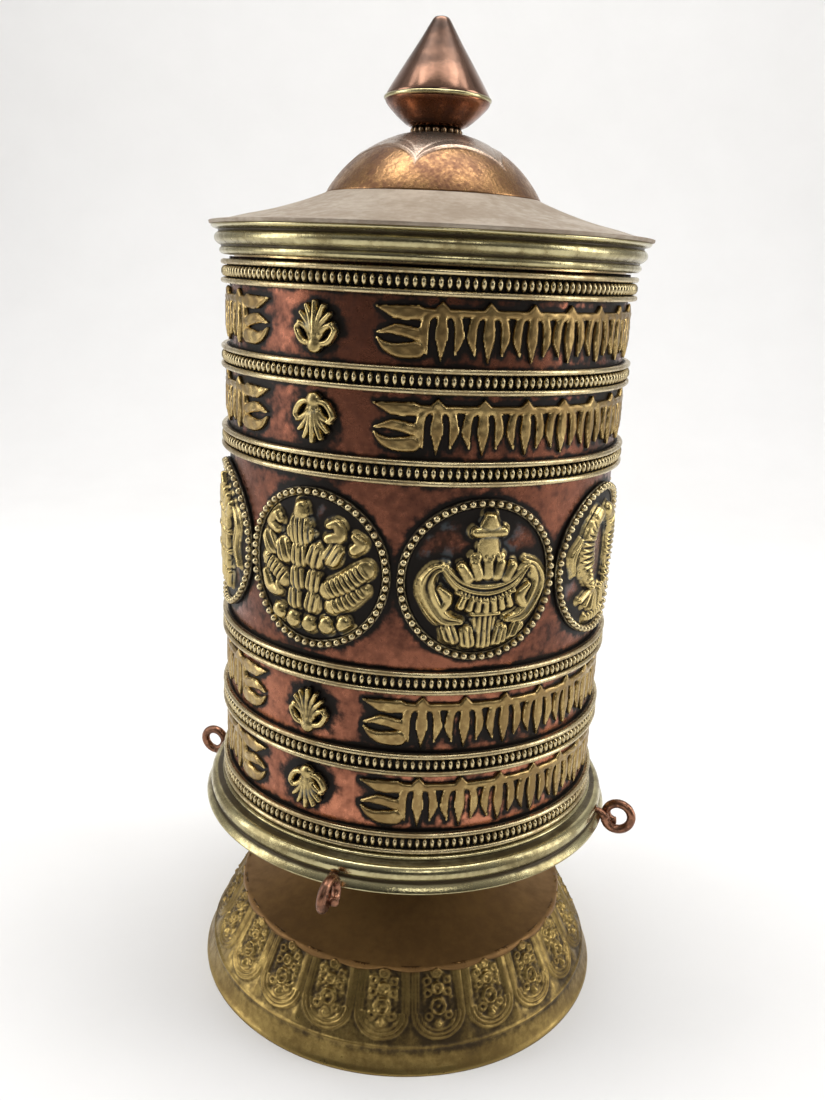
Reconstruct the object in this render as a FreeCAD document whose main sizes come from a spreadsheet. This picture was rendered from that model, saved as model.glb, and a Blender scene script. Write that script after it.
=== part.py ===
"""Table prayer wheel: a copper drum that spins on a fixed spindle over a flared brass stand.

Millimetres, +Z up, origin on the axis at the underside of the foot. An azimuth of 0 faces -Y and grows
towards +X.
Every driving dimension is a cell of the sheet "Sizes"; each piece is tied to those cells by expressions.
"""

import FreeCAD
import Part
import math
import os
import re
import Sketcher

SIZES = {
    # stand
    "foot_radius": (55.6, "outer radius of the skirt at the table"),
    "border_radius": (53.4, "skirt radius where the plain border ends"),
    "border_height": (6.0, "height of the plain border"),
    "skirt_top_radius": (44.2, "skirt radius where the plain neck begins"),
    "skirt_height": (22.9, "height of the embossed skirt"),
    "sheet_wall": (1.0, "thickness of the stand's sheet"),
    "neck_top_radius": (15.0, "radius where the neck turns flat"),
    "neck_height": (40.5, "height of the neck's flat top"),
    "neck_curve": (42.0, "radius of the neck's hollow curve"),
    "block_gap": (0.2, "gap between the wooden block and the skirt"),
    "block_lift": (0.6, "how far the block stays off the table"),
    "recess_radius": (12.0, "radius of the nut's recess under the block"),
    "recess_top": (12.0, "height of the recess's ceiling"),
    "washer_radius": (10.0, "radius of the spindle washer"),
    "washer_thick": (1.2, "thickness of the spindle washer"),
    "nut_radius": (7.5, "corner radius of the spindle nut"),
    "nut_thick": (5.0, "thickness of the spindle nut"),
    "spindle_radius": (4.0, "radius of the spindle"),
    "spindle_low": (4.3, "height of the spindle's lower end"),
    "thread_radius": (3.0, "radius of the spindle's threaded top"),
    "collar_radius": (9.0, "radius of the spacer on the neck"),
    "collar_top": (46.5, "height of the spacer's top"),
    "thrust_radius": (9.6, "radius of the thrust washer"),
    "thrust_top": (48.0, "height of the thrust washer's top"),
    # drum
    "run_gap": (0.05, "radial clearance of every bore that runs on the spindle"),
    "thrust_gap": (0.2, "gap over the thrust washer"),
    "drum_radius": (48.6, "outer radius of the copper shell"),
    "drum_wall": (0.8, "thickness of the copper shell"),
    "drum_low": (52.0, "height of the shell's lower edge"),
    "drum_high": (191.2, "height of the shell's upper edge"),
    "floor_thick": (1.0, "thickness of the drum's floor"),
    "bush_radius": (7.0, "outer radius of the lower bush"),
    "bush_flange": (10.0, "flange radius of the lower bush"),
    "bush_top": (60.0, "height of the lower bush's top"),
    "rim_radius": (55.0, "radius of the lower moulding's flange"),
    "rim_low": (50.7, "height of the lower moulding's bottom edge"),
    "rim_high": (58.4, "height of the lower moulding's top edge"),
    "torus_radius": (54.1, "radius of the lower moulding's big round"),
    "strip_half": (2.7, "half the height of a bead strip"),
    "strip_radius": (50.7, "outer radius of a bead strip"),
    "strip_z_a": (187.9, "height of bead strip 1"),
    "strip_z_b": (168.3, "height of bead strip 2"),
    "strip_z_c": (149.0, "height of bead strip 3"),
    "strip_z_d": (101.4, "height of bead strip 4"),
    "strip_z_e": (81.3, "height of bead strip 5"),
    "strip_z_f": (61.1, "height of bead strip 6"),
    "frieze_margin": (0.45, "gap between a frieze and the strips beside it"),
    "frieze_thick": (1.1, "how far a frieze stands out"),
    "frieze_start": (-12.0, "azimuth where a frieze begins"),
    "frieze_sweep": (150.0, "angle that one frieze length covers"),
    "bud_azimuth": (-26.5, "azimuth of the front buds and of medallion 1"),
    "bud_radius": (6.0, "radius of a bud ornament"),
    "bud_thick": (2.2, "how far a bud stands out"),
    "medallion_z": (125.2, "height of the medallions' centres"),
    "medallion_count": (8, "number of medallions"),
    "plate_radius": (16.6, "radius of a medallion's plate"),
    "plate_thick": (0.7, "thickness of a medallion's plate"),
    "relief_radius": (13.0, "radius of a medallion's relief"),
    "relief_thick": (3.0, "how far the relief stands out"),
    "ring_radius": (18.5, "outer radius of a medallion's beaded ring"),
    "ring_thick": (1.9, "how far the beaded ring stands out"),
    "loop_azimuth": (-15.0, "azimuth of the first turning loop"),
    "loop_reach": (59.7, "distance of a loop's eye from the axis"),
    "loop_z": (51.7, "height of a loop's eye"),
    "eye_radius": (3.45, "radius of a loop's eye at the wire's middle"),
    "wire_radius": (1.2, "radius of the loops' wire"),
    "tail_length": (4.0, "length of the wire's tail into the moulding"),
    "core_inner": (7.2, "bore of the scroll's tube"),
    "core_radius": (9.0, "outer radius of the scroll's tube"),
    "core_high": (186.0, "height of the tube's top"),
    "scroll_radius": (42.0, "radius of the rolled paper"),
    "scroll_low": (54.0, "height of the paper's lower edge"),
    "scroll_high": (184.0, "height of the paper's upper edge"),
    "wrap_thick": (0.6, "thickness of the cloth round the paper"),
    "tie_thick": (0.8, "thickness of a ribbon"),
    "tie_half": (3.0, "half the width of a ribbon"),
    # lid
    "lid_gap": (0.3, "gap between lid and drum"),
    "lip_radius": (53.4, "radius of the lid's sharp lip"),
    "lip_z": (199.1, "height of the lid's lip"),
    "lid_wall": (0.8, "thickness of the lid's sheet"),
    "lid_curve": (100.0, "radius of the lid's hollow curve"),
    "dome_radius": (25.8, "radius of the dome's foot"),
    "dome_z": (206.9, "height of the dome's foot"),
    "dome_curve": (29.6, "radius of the dome's curve"),
    "dome_flat": (8.0, "radius of the flat on top of the dome"),
    "dome_top": (220.4, "height of the flat on top of the dome"),
    "lid_bush_radius": (6.0, "outer radius of the lid's bush"),
    "lid_bush_low": (201.0, "height of the lid bush's lower end"),
    "skirt_ring_low": (188.0, "height of the lid ring's lower edge"),
    "skirt_ring_wall": (1.2, "thickness of the lid's locating ring"),
    "moulding_low": (191.6, "height of the lid moulding's lower edge"),
    # finial
    "finial_gap": (0.25, "gap between the dome and the finial's beads"),
    "bead_ring_radius": (6.2, "outer radius of the bead ring"),
    "bead_ring_high": (222.65, "height of the bead ring's top"),
    "bowl_high": (228.5, "height of the bowl's rim"),
    "bowl_radius": (12.4, "radius of the bowl's rim"),
    "bowl_curve": (14.0, "radius of the bowl's curve"),
    "seam_thick": (0.8, "height of the brass seam"),
    "tip_radius": (1.9, "radius of the finial's tip"),
    "finial_high": (246.7, "height of the whole wheel"),
    "finial_wall": (0.8, "thickness of the finial's sheet"),
    "thread_top": (236.0, "height of the spindle's upper end"),
    "insert_radius": (5.2, "outer radius of the threaded insert"),
    "insert_high": (232.0, "height of the insert's top"),
}

doc = FreeCAD.newDocument("PrayerWheel")


def fill_sheet():
    """Writes each driving dimension as plain text with its alias, and its meaning beside it."""
    sheet = doc.addObject("Spreadsheet::Sheet", "Sizes")
    for row, (alias, (value, meaning)) in enumerate(SIZES.items(), start=1):
        sheet.set(f"A{row}", meaning)
        sheet.set(f"B{row}", str(value))
        sheet.setAlias(f"B{row}", alias)
    doc.recompute()
    return sheet


sheet = fill_sheet()


def tie(expression):
    """Turns words such as foot_radius - sheet_wall into references to the sheet's cells."""
    return re.sub(r"[a-z][a-z_]+", lambda word: "Sizes." + word.group(0), str(expression))


def value_of(expression):
    return float(sheet.evalExpression(tie(expression)))


def bind(piece, **properties):
    """Ties properties to the sheet; two underscores in a name stand for a dot."""
    for name, expression in properties.items():
        piece.setExpression(name.replace("__", "."), tie(expression))


def arc_middle(start, end, radius, side):
    """The point half way along the arc of that radius; side +1 bulges to the left of start to end."""
    chord = end - start
    half = chord.Length / 2
    rise = radius - math.sqrt(radius * radius - half * half)
    left = FreeCAD.Vector(-chord.y, chord.x, 0).normalize()
    return (start + end) * 0.5 + left * (rise * side)


def outline(body, corners):
    """Draws the closed outline through corners on the body's XZ plane.

    A corner is (radius, height); with two more entries, (curve, side), the edge that arrives there is an
    arc.
    Each corner's place and each arc's radius is a constraint tied to the sheet.
    """
    plane = next(item for item in body.Origin.OriginFeatures if item.Role == "XZ_Plane")
    sketch = body.newObject("Sketcher::SketchObject", body.Name + "_outline")
    sketch.AttachmentSupport = [(plane, "")]
    sketch.MapMode = "FlatFace"
    places = [FreeCAD.Vector(value_of(c[0]), value_of(c[1]), 0) for c in corners]
    edge_starts = []
    edge_ends = []
    for index, corner in enumerate(corners):
        start = places[index - 1]
        end = places[index]
        if len(corner) == 4:
            middle = arc_middle(start, end, value_of(corner[2]), corner[3])
            edge = sketch.addGeometry(Part.Arc(start, middle, end), False)
            number = sketch.addConstraint(Sketcher.Constraint("Radius", edge, value_of(corner[2])))
            sketch.setExpression(f"Constraints[{number}]", tie(corner[2]))
        else:
            edge = sketch.addGeometry(Part.LineSegment(start, end), False)
        from_first = sketch.getPoint(edge, 1).distanceToPoint(start)
        from_second = sketch.getPoint(edge, 2).distanceToPoint(start)
        forward = from_first < from_second
        edge_starts.append((edge, 1 if forward else 2))
        edge_ends.append((edge, 2 if forward else 1))
    for index, corner in enumerate(corners):
        following = edge_starts[(index + 1) % len(corners)]
        sketch.addConstraint(Sketcher.Constraint("Coincident", *edge_ends[index], *following))
        for kind, expression, here in (
            ("DistanceX", corner[0], places[index].x),
            ("DistanceY", corner[1], places[index].y),
        ):
            number = sketch.addConstraint(Sketcher.Constraint(kind, -1, 1, *edge_ends[index], here))
            sketch.setExpression(f"Constraints[{number}]", tie(expression))
    return sketch


def turned(name, corners):
    """A piece turned about the axis from the outline through corners."""
    body = doc.addObject("PartDesign::Body", name)
    sketch = outline(body, corners)
    turn = body.newObject("PartDesign::Revolution", name + "_turn")
    turn.Profile = sketch
    turn.ReferenceAxis = (sketch, ["V_Axis"])
    turn.Angle = 360
    sketch.Visibility = False
    return body


def tube(name, inner, outer, low, high):
    """A plain ring, disc or sleeve: a turned rectangle."""
    return turned(name, [(inner, low), (outer, low), (outer, high), (inner, high)])


def cylinder(name, radius, height, low="0", **more):
    piece = doc.addObject("Part::Cylinder", name)
    bind(piece, Radius=radius, Height=height, Placement__Base__z=low, **more)
    return piece


def combine(kind, name, base, tool):
    piece = doc.addObject("Part::" + kind, name)
    piece.Base = base
    piece.Tool = tool
    return piece


def azimuth_to(piece, azimuth):
    """Turns a piece made at azimuth 0 round the axis."""
    piece.setExpression("Placement.Rotation.Angle", f"({tie(azimuth)}) * 1 deg")


def layer(name, thick, low, high, start=None, sweep=None):
    """A layer of that thickness on the shell's outside; start and sweep, in degrees, leave part of it."""
    outer = cylinder(name + "_outer", f"drum_radius + {thick}", f"({high}) - ({low})", low)
    inner = cylinder(name + "_inner", "drum_radius", f"({high}) - ({low})", low)
    if sweep is not None:
        bind(outer, Angle=sweep)
        azimuth_to(outer, f"{start} - 90")
    return combine("Cut", name, outer, inner)


def patch(name, radius, thick, middle, hole=None):
    """A round patch on the shell's outside at azimuth 0, or a ring when hole is given."""
    disc = doc.addObject("Part::Cylinder", name + "_disc")
    disc.Placement = FreeCAD.Placement(FreeCAD.Vector(), FreeCAD.Rotation(FreeCAD.Vector(1, 0, 0), 90))
    bind(disc, Radius=radius, Height="rim_radius", Placement__Base__z=middle)
    if hole is not None:
        core = doc.addObject("Part::Cylinder", name + "_core")
        core.Placement = disc.Placement
        bind(core, Radius=hole, Height="rim_radius", Placement__Base__z=middle)
        disc = combine("Cut", name + "_washer", disc, core)
    skin = layer(name + "_skin", thick, f"{middle} - {radius}", f"{middle} + {radius}")
    return combine("Common", name, skin, disc)


def group(name, pieces):
    """Separate solids of one kind in one node."""
    together = doc.addObject("Part::Compound", name)
    together.Links = pieces
    return together


# ---- stand ---------------------------------------------------------------------------------------


def make_skirt():
    return turned("base_skirt", [
        ("foot_radius - sheet_wall", "0"),
        ("foot_radius", "0"),
        ("border_radius", "border_height"),
        ("skirt_top_radius", "skirt_height"),
        ("skirt_top_radius - sheet_wall", "skirt_height"),
        ("border_radius - sheet_wall", "border_height"),
    ])


def make_neck():
    return turned("base_neck", [
        ("skirt_top_radius - sheet_wall", "skirt_height", "neck_curve + sheet_wall", -1),
        ("skirt_top_radius", "skirt_height"),
        ("neck_top_radius", "neck_height", "neck_curve", 1),
        ("spindle_radius", "neck_height"),
        ("spindle_radius", "neck_height - sheet_wall"),
        ("neck_top_radius - sheet_wall", "neck_height - sheet_wall"),
    ])


def make_block():
    """The wooden block, with the nut's recess in its underside."""
    inset = "(sheet_wall + block_gap)"
    return turned("base_block", [
        ("recess_radius", "block_lift"),
        (f"foot_radius - {inset} - block_lift", "block_lift"),
        (f"border_radius - {inset}", "border_height"),
        (f"skirt_top_radius - {inset}", "skirt_height - block_gap"),
        ("spindle_radius", "skirt_height - block_gap"),
        ("spindle_radius", "recess_top"),
        ("recess_radius", "recess_top"),
    ])


def make_spindle():
    """A steel rod, thinner above the lid where its thread takes the finial."""
    return turned("spindle", [
        ("0", "spindle_low"),
        ("spindle_radius", "spindle_low"),
        ("spindle_radius", "dome_top"),
        ("thread_radius", "dome_top"),
        ("thread_radius", "thread_top"),
        ("0", "thread_top"),
    ])


def make_spindle_nut():
    nut_low = "recess_top - washer_thick - nut_thick"
    blank = doc.addObject("Part::Prism", "nut_blank")
    blank.Polygon = 6
    bind(blank, Circumradius="nut_radius", Height="nut_thick", Placement__Base__z=nut_low)
    bore = cylinder("nut_bore", "spindle_radius", "nut_thick", nut_low)
    return combine("Cut", "spindle_nut", blank, bore)


def make_stand():
    return [
        make_skirt(),
        make_neck(),
        make_block(),
        make_spindle(),
        make_spindle_nut(),
        tube("spindle_washer", "spindle_radius", "washer_radius", "recess_top - washer_thick", "recess_top"),
        turned("neck_collar", [
            ("spindle_radius", "neck_height"),
            ("collar_radius", "neck_height"),
            ("collar_radius - 2", "neck_height + 2"),
            ("collar_radius - 2", "collar_top - 1.5"),
            ("collar_radius", "collar_top"),
            ("spindle_radius", "collar_top"),
        ]),
        tube("thrust_washer", "spindle_radius", "thrust_radius", "collar_top", "thrust_top"),
    ]


# ---- drum ----------------------------------------------------------------------------------------


def make_lower_bush():
    return turned("lower_bush", [
        ("spindle_radius + run_gap", "thrust_top + thrust_gap"),
        ("bush_flange", "thrust_top + thrust_gap"),
        ("bush_flange", "drum_low"),
        ("bush_radius", "drum_low"),
        ("bush_radius", "bush_top"),
        ("spindle_radius + run_gap", "bush_top"),
    ])


def make_lower_rim():
    """Step, big round, groove and flange, from the top down."""
    return turned("lower_rim", [
        ("drum_radius", "rim_low"),
        ("rim_radius", "rim_low"),
        ("rim_radius - 0.1", "rim_low + 0.9"),
        ("torus_radius - 0.6", "rim_low + 2.4"),
        ("torus_radius - 0.7", "rim_low + 3.0"),
        ("torus_radius - 2.7", "rim_high - 1.7", "2.1", -1),
        ("torus_radius - 3.3", "rim_high - 1.5"),
        ("drum_radius + 2.2", "rim_high - 0.8"),
        ("drum_radius + 1.6", "rim_high - 0.3"),
        ("drum_radius + 1.0", "rim_high"),
        ("drum_radius", "rim_high"),
    ])


def make_strips_and_friezes():
    """Six bead strips, and a frieze with its buds in four of the five bands between them."""
    heights = ["strip_z_a", "strip_z_b", "strip_z_c", "strip_z_d", "strip_z_e", "strip_z_f"]
    pieces = [
        tube(f"bead_strip_{number}", "drum_radius", "strip_radius", f"{z} - strip_half", f"{z} + strip_half")
        for number, z in enumerate(heights, start=1)
    ]
    bands = [(0, 1), (1, 2), (3, 4), (4, 5)]
    for number, (upper, lower) in enumerate(bands, start=1):
        low = f"{heights[lower]} + strip_half + frieze_margin"
        high = f"{heights[upper]} - strip_half - frieze_margin"
        lengths = []
        buds = []
        for side, turn in (("front", 0), ("back", 180)):
            name = f"frieze_{number}_{side}"
            lengths.append(layer(name, "frieze_thick", low, high, f"frieze_start + {turn}", "frieze_sweep"))
            middle = f"({heights[upper]} + {heights[lower]}) / 2"
            bud = patch(f"bud_{number}_{side}", "bud_radius", "bud_thick", middle)
            azimuth_to(bud, f"bud_azimuth + {turn}")
            buds.append(bud)
        pieces.append(group(f"frieze_{number}", lengths))
        pieces.append(group(f"buds_{number}", buds))
    return pieces


def make_medallions():
    """Each medallion is a relief on a curved plate, with a separate beaded ring round it."""
    pieces = []
    count = int(SIZES["medallion_count"][0])
    for number in range(1, count + 1):
        name = f"medallion_{number}"
        plate = patch(name + "_plate", "plate_radius", "plate_thick", "medallion_z")
        relief = patch(name + "_relief", "relief_radius", "relief_thick", "medallion_z")
        medallion = combine("Fuse", name, plate, relief)
        ring = patch(f"medallion_ring_{number}", "ring_radius", "ring_thick", "medallion_z", "plate_radius")
        for piece in (medallion, ring):
            azimuth_to(piece, f"bud_azimuth + {number - 1} * 360 / medallion_count")
        pieces += [medallion, ring]
    return pieces


def make_loop(number):
    """A wire eye that stands upright outside the lower moulding, with its tail driven into the moulding."""
    name = f"turning_loop_{number}"
    eye = doc.addObject("Part::Torus", name + "_eye")
    eye.Placement = FreeCAD.Placement(FreeCAD.Vector(), FreeCAD.Rotation(FreeCAD.Vector(0, 1, 0), 90))
    bind(eye, Radius1="eye_radius", Radius2="wire_radius")
    bind(eye, Placement__Base__y="-loop_reach", Placement__Base__z="loop_z")
    tail = doc.addObject("Part::Cylinder", name + "_tail")
    tail.Placement = FreeCAD.Placement(FreeCAD.Vector(), FreeCAD.Rotation(FreeCAD.Vector(1, 0, 0), 90))
    bind(tail, Radius="wire_radius", Height="tail_length", Placement__Base__z="loop_z + 0.4")
    bind(tail, Placement__Base__y="tail_length + eye_radius - loop_reach")
    loop = combine("Fuse", name, eye, tail)
    azimuth_to(loop, f"loop_azimuth + {number - 1} * 90")
    return loop


def make_drum():
    inside = "drum_radius - drum_wall"
    ties = [
        tube(f"tie_{place}", "scroll_radius + wrap_thick", "scroll_radius + wrap_thick + tie_thick",
             f"{height} - tie_half", f"{height} + tie_half")
        for place, height in (("low", "strip_z_e"), ("high", "strip_z_c"))
    ]
    return [
        tube("drum_shell", inside, "drum_radius", "drum_low", "drum_high"),
        tube("drum_floor", "bush_radius", inside, "drum_low", "drum_low + floor_thick"),
        make_lower_bush(),
        make_lower_rim(),
        *make_strips_and_friezes(),
        *make_medallions(),
        *[make_loop(number) for number in range(1, 5)],
        tube("scroll_core", "core_inner", "core_radius", "drum_low + floor_thick", "core_high"),
        tube("prayer_scroll", "core_radius", "scroll_radius", "scroll_low", "scroll_high"),
        tube("scroll_wrap", "scroll_radius", "scroll_radius + wrap_thick",
             "scroll_low + 3", "scroll_high - 3"),
        group("scroll_ties", ties),
    ]


# ---- lid -----------------------------------------------------------------------------------------


def make_lid_cone():
    """The low hollow-curved cone with a sharp lip."""
    return turned("lid_cone", [
        ("lip_radius - 0.2", "lip_z - lid_wall", "lid_curve + lid_wall", -1),
        ("lip_radius", "lip_z"),
        ("dome_radius", "dome_z", "lid_curve", 1),
        ("dome_radius - lid_wall", "dome_z"),
        ("dome_radius - lid_wall", "dome_z - lid_wall"),
    ])


def make_lid_dome():
    return turned("lid_dome", [
        ("dome_radius - lid_wall", "dome_z", "dome_curve - lid_wall", 1),
        ("dome_radius", "dome_z"),
        ("dome_flat", "dome_top", "dome_curve", -1),
        ("lid_bush_radius", "dome_top"),
        ("lid_bush_radius", "dome_top - lid_wall"),
        ("dome_flat", "dome_top - lid_wall"),
    ])


def make_lid_moulding():
    """Flange, groove, convex band, groove and a second band, from the top down."""
    top = "lip_z - lid_wall - 0.1"
    return turned("lid_moulding", [
        ("drum_radius + lid_gap", "moulding_low"),
        ("drum_radius + 1.4", "moulding_low"),
        ("drum_radius + 2.0", "moulding_low + 0.3"),
        ("drum_radius + 2.2", "moulding_low + 1.4", "1.2", -1),
        ("drum_radius + 1.8", "moulding_low + 1.8"),
        ("drum_radius + 2.0", "moulding_low + 2.2"),
        ("drum_radius + 3.3", "moulding_low + 4.5", "3.4", -1),
        ("drum_radius + 2.4", "moulding_low + 5.0"),
        ("drum_radius + 2.4", "moulding_low + 5.5"),
        ("drum_radius + 3.5", "moulding_low + 5.8"),
        ("lip_radius - 0.6", top),
        ("drum_radius + lid_gap", top),
    ])


def make_lid():
    ring_outer = "drum_radius - drum_wall - lid_gap"
    return [
        make_lid_cone(),
        make_lid_dome(),
        make_lid_moulding(),
        turned("lid_skirt", [
            (f"{ring_outer} - skirt_ring_wall", "skirt_ring_low"),
            (ring_outer, "skirt_ring_low"),
            (ring_outer, "drum_high + lid_gap"),
            ("drum_radius + lid_gap", "drum_high + lid_gap"),
            ("drum_radius + lid_gap", "lip_z - lid_wall - 0.1"),
            (f"{ring_outer} - skirt_ring_wall", "lip_z - lid_wall - 0.1"),
        ]),
        tube("lid_bush", "spindle_radius + run_gap", "lid_bush_radius", "lid_bush_low", "dome_top"),
    ]


# ---- finial --------------------------------------------------------------------------------------


def make_finial():
    return [
        tube("finial_beads", "insert_radius - 1.2", "bead_ring_radius",
             "dome_top + finial_gap", "bead_ring_high"),
        turned("finial_bowl", [
            ("insert_radius", "bead_ring_high"),
            ("bead_ring_radius", "bead_ring_high"),
            ("bowl_radius", "bowl_high", "bowl_curve", -1),
            ("bowl_radius - finial_wall", "bowl_high"),
            ("bead_ring_radius - 0.2", "bead_ring_high + finial_wall", "bowl_curve - finial_wall", 1),
            ("insert_radius", "bead_ring_high + finial_wall"),
        ]),
        tube("finial_band", "bowl_radius - finial_wall", "bowl_radius + 0.3",
             "bowl_high", "bowl_high + seam_thick"),
        turned("finial_cone", [
            ("bowl_radius - finial_wall", "bowl_high + seam_thick"),
            ("bowl_radius", "bowl_high + seam_thick"),
            ("tip_radius", "finial_high"),
            ("0", "finial_high"),
            ("0", "finial_high - 1.5"),
            ("tip_radius - 0.8", "finial_high - 1.5"),
        ]),
        tube("finial_nut", "thread_radius + run_gap", "insert_radius", "bead_ring_high", "insert_high"),
    ]


pieces = make_stand() + make_drum() + make_lid() + make_finial()
for piece in pieces:
    piece.Label = piece.Name
doc.recompute()

for item in doc.Objects:
    if "Invalid" in item.State or "Error" in item.State:
        raise SystemExit(f"{item.Name} did not recompute: {item.State}")
for piece in pieces:
    if piece.Shape.isNull() or not piece.Shape.isValid():
        raise SystemExit(f"{piece.Label} has no valid shape")

os.makedirs("parts", exist_ok=True)
for piece in pieces:
    piece.Shape.exportStep(f"parts/{piece.Label}.step")
    print(f"{piece.Label}: {len(piece.Shape.Solids)} solid(s), {piece.Shape.Volume:.1f} mm3")
print(f"{len(pieces)} nodes")
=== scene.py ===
# %% [markdown]
# # A table prayer wheel, dressed in Blender
# The wheel's engineering model is already packed: its pieces, their places and their joints are fixed.
# This notebook loads that model as a frame, then makes the surfaces a coppersmith would recognise: beaded
# strips, chased petals, applied brass work, black patina in the hollows and bright metal where fingers
# polish it. Shapes are worked out in millimetres with numpy and turned into metres only when a mesh is
# made.

# %% Load the frame
import math
import bpy
import numpy as np
from mathutils import Matrix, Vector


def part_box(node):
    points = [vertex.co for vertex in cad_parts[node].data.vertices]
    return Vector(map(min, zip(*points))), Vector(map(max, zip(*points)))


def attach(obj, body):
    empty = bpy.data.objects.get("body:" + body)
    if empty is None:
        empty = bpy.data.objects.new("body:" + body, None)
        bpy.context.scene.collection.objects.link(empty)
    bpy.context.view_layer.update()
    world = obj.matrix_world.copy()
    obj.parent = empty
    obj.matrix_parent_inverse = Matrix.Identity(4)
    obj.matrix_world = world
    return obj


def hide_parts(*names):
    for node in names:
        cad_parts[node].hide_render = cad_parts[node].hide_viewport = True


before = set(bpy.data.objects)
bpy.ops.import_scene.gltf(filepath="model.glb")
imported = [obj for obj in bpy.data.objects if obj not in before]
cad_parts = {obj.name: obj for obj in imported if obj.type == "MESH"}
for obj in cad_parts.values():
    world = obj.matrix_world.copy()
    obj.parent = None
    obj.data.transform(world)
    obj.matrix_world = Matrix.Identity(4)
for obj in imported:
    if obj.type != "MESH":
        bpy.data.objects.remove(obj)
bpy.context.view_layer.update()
MM = 0.001

# %% [markdown]
# ## Reading sizes off the frame
# Every new surface has to sit exactly where its engineering piece sits, so the sizes are read from the
# nodes' boxes instead of being typed again. A turned piece needs three numbers: its outer radius and its
# two heights.

# %% Radii and heights from the nodes


def low_of(node):
    """The lowest height of a node, in millimetres: the z of its box's lower corner."""
    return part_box(node)[0].z / MM


def high_of(node):
    """The greatest height of a node, in millimetres: the z of its box's upper corner."""
    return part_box(node)[1].z / MM


def radius_of(node):
    """The outer radius of a turned node, in millimetres: the x of its box's upper corner."""
    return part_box(node)[1].x / MM


DRUM = radius_of("drum_shell")
STRIP_Z = [(low_of(f"bead_strip_{k}") + high_of(f"bead_strip_{k}")) / 2 for k in range(1, 7)]
FRONT_TURN = math.radians(-26.5)
FRIEZE_START = math.radians(-12.0)
FRIEZE_SWEEP = math.radians(150.0)
LOOP_TURN = math.radians(-15.0)
print("drum radius", round(DRUM, 2), "strips at", np.round(STRIP_Z, 1))

# %% [markdown]
# ## From arrays to a mesh
# Each surface below is an array of points and one or more arrays of faces. Putting them into a mesh with
# foreach_set is fast, and the sign of the enclosed volume tells whether the faces point outwards, so no
# shape has to worry about its winding. Extra numbers per point, such as how deep it lies in a relief, go
# along as attributes for the shader.

# %% A mesh from points and faces


def signed_volume(points, faces):
    """Volume by the divergence rule: a sixth of the sum of corner . (corner x corner) over a fan of
    each face."""
    total = 0.0
    for kind in faces:
        for k in range(1, kind.shape[1] - 1):
            a, b, c = points[kind[:, 0]], points[kind[:, k]], points[kind[:, k + 1]]
            total += np.einsum("ij,ij->", a, np.cross(b, c)) / 6
    return total


def put_mesh(name, points, faces, smooth=True, **fields):
    """Makes an object from millimetre points, face arrays of 3 or 4 columns and one number per point
    in each field."""
    faces = [kind for kind in faces if len(kind)]
    if signed_volume(points, faces) < 0:
        faces = [kind[:, ::-1] for kind in faces]
    mesh = bpy.data.meshes.new(name)
    mesh.vertices.add(len(points))
    mesh.vertices.foreach_set("co", (points * MM).astype(np.float32).ravel())
    corners = np.concatenate([kind.ravel() for kind in faces]).astype(np.int32)
    sizes = np.concatenate([np.full(len(kind), kind.shape[1]) for kind in faces])
    mesh.loops.add(len(corners))
    mesh.loops.foreach_set("vertex_index", corners)
    mesh.polygons.add(len(sizes))
    mesh.polygons.foreach_set("loop_start", np.concatenate([[0], np.cumsum(sizes)[:-1]]).astype(np.int32))
    mesh.polygons.foreach_set("loop_total", sizes.astype(np.int32))
    mesh.polygons.foreach_set("use_smooth", np.full(len(sizes), smooth))
    for field, values in fields.items():
        layer = mesh.attributes.new(field, "FLOAT", "POINT")
        layer.data.foreach_set("value", np.asarray(values, np.float32).ravel())
    mesh.update(calc_edges=True)
    mesh.validate()
    piece = bpy.data.objects.new(name, mesh)
    bpy.context.scene.collection.objects.link(piece)
    print(f"{name}: {int((sizes - 2).sum())} triangles")
    return piece


def grid_faces(rows, columns, close_rows=False, close_columns=False):
    """Quads of a grid of points kept row after row; either direction can close on itself."""
    i = np.arange(rows if close_rows else rows - 1)[:, None]
    j = np.arange(columns if close_columns else columns - 1)[None, :]
    below, right = (i + 1) % rows, (j + 1) % columns
    quads = [i * columns + j, i * columns + right, below * columns + right, below * columns + j]
    return np.stack([q + 0 * (i + j) for q in quads], -1).reshape(-1, 4)


# %% [markdown]
# ## Turned work
# Lid, mouldings, neck and finial are spun or turned metal. The natural surface is a profile of (radius,
# height) carried round the axis. A real spinning has soft corners, so each profile is a few chosen points
# joined by a smooth curve. The curve is a Catmull-Rom spline: between two points it follows the slope
# that their neighbours suggest.

# %% Smooth profiles carried round the axis


def fair(points, per=8, closed=False):
    """Catmull-Rom: each span blends its two ends and the slopes (next - previous) / 2 with cubic weights."""
    points = np.asarray(points, float)
    if closed:
        padded = np.concatenate([points[-1:], points, points[:2]])
    else:
        padded = np.concatenate([2 * points[:1] - points[1:2], points, 2 * points[-1:] - points[-2:-1]])
    t = np.linspace(0, 1, per, endpoint=False)[None, :, None]
    p0, p1, p2, p3 = (padded[k:len(padded) - 3 + k, None, :] for k in range(4))
    curve = 0.5 * (2 * p1 + (p2 - p0) * t + (2 * p0 - 5 * p1 + 4 * p2 - p3) * t ** 2
                   + (3 * p1 - p0 - 3 * p2 + p3) * t ** 3).reshape(-1, points.shape[1])
    return curve if closed else np.concatenate([curve, points[-1:]])


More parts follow.
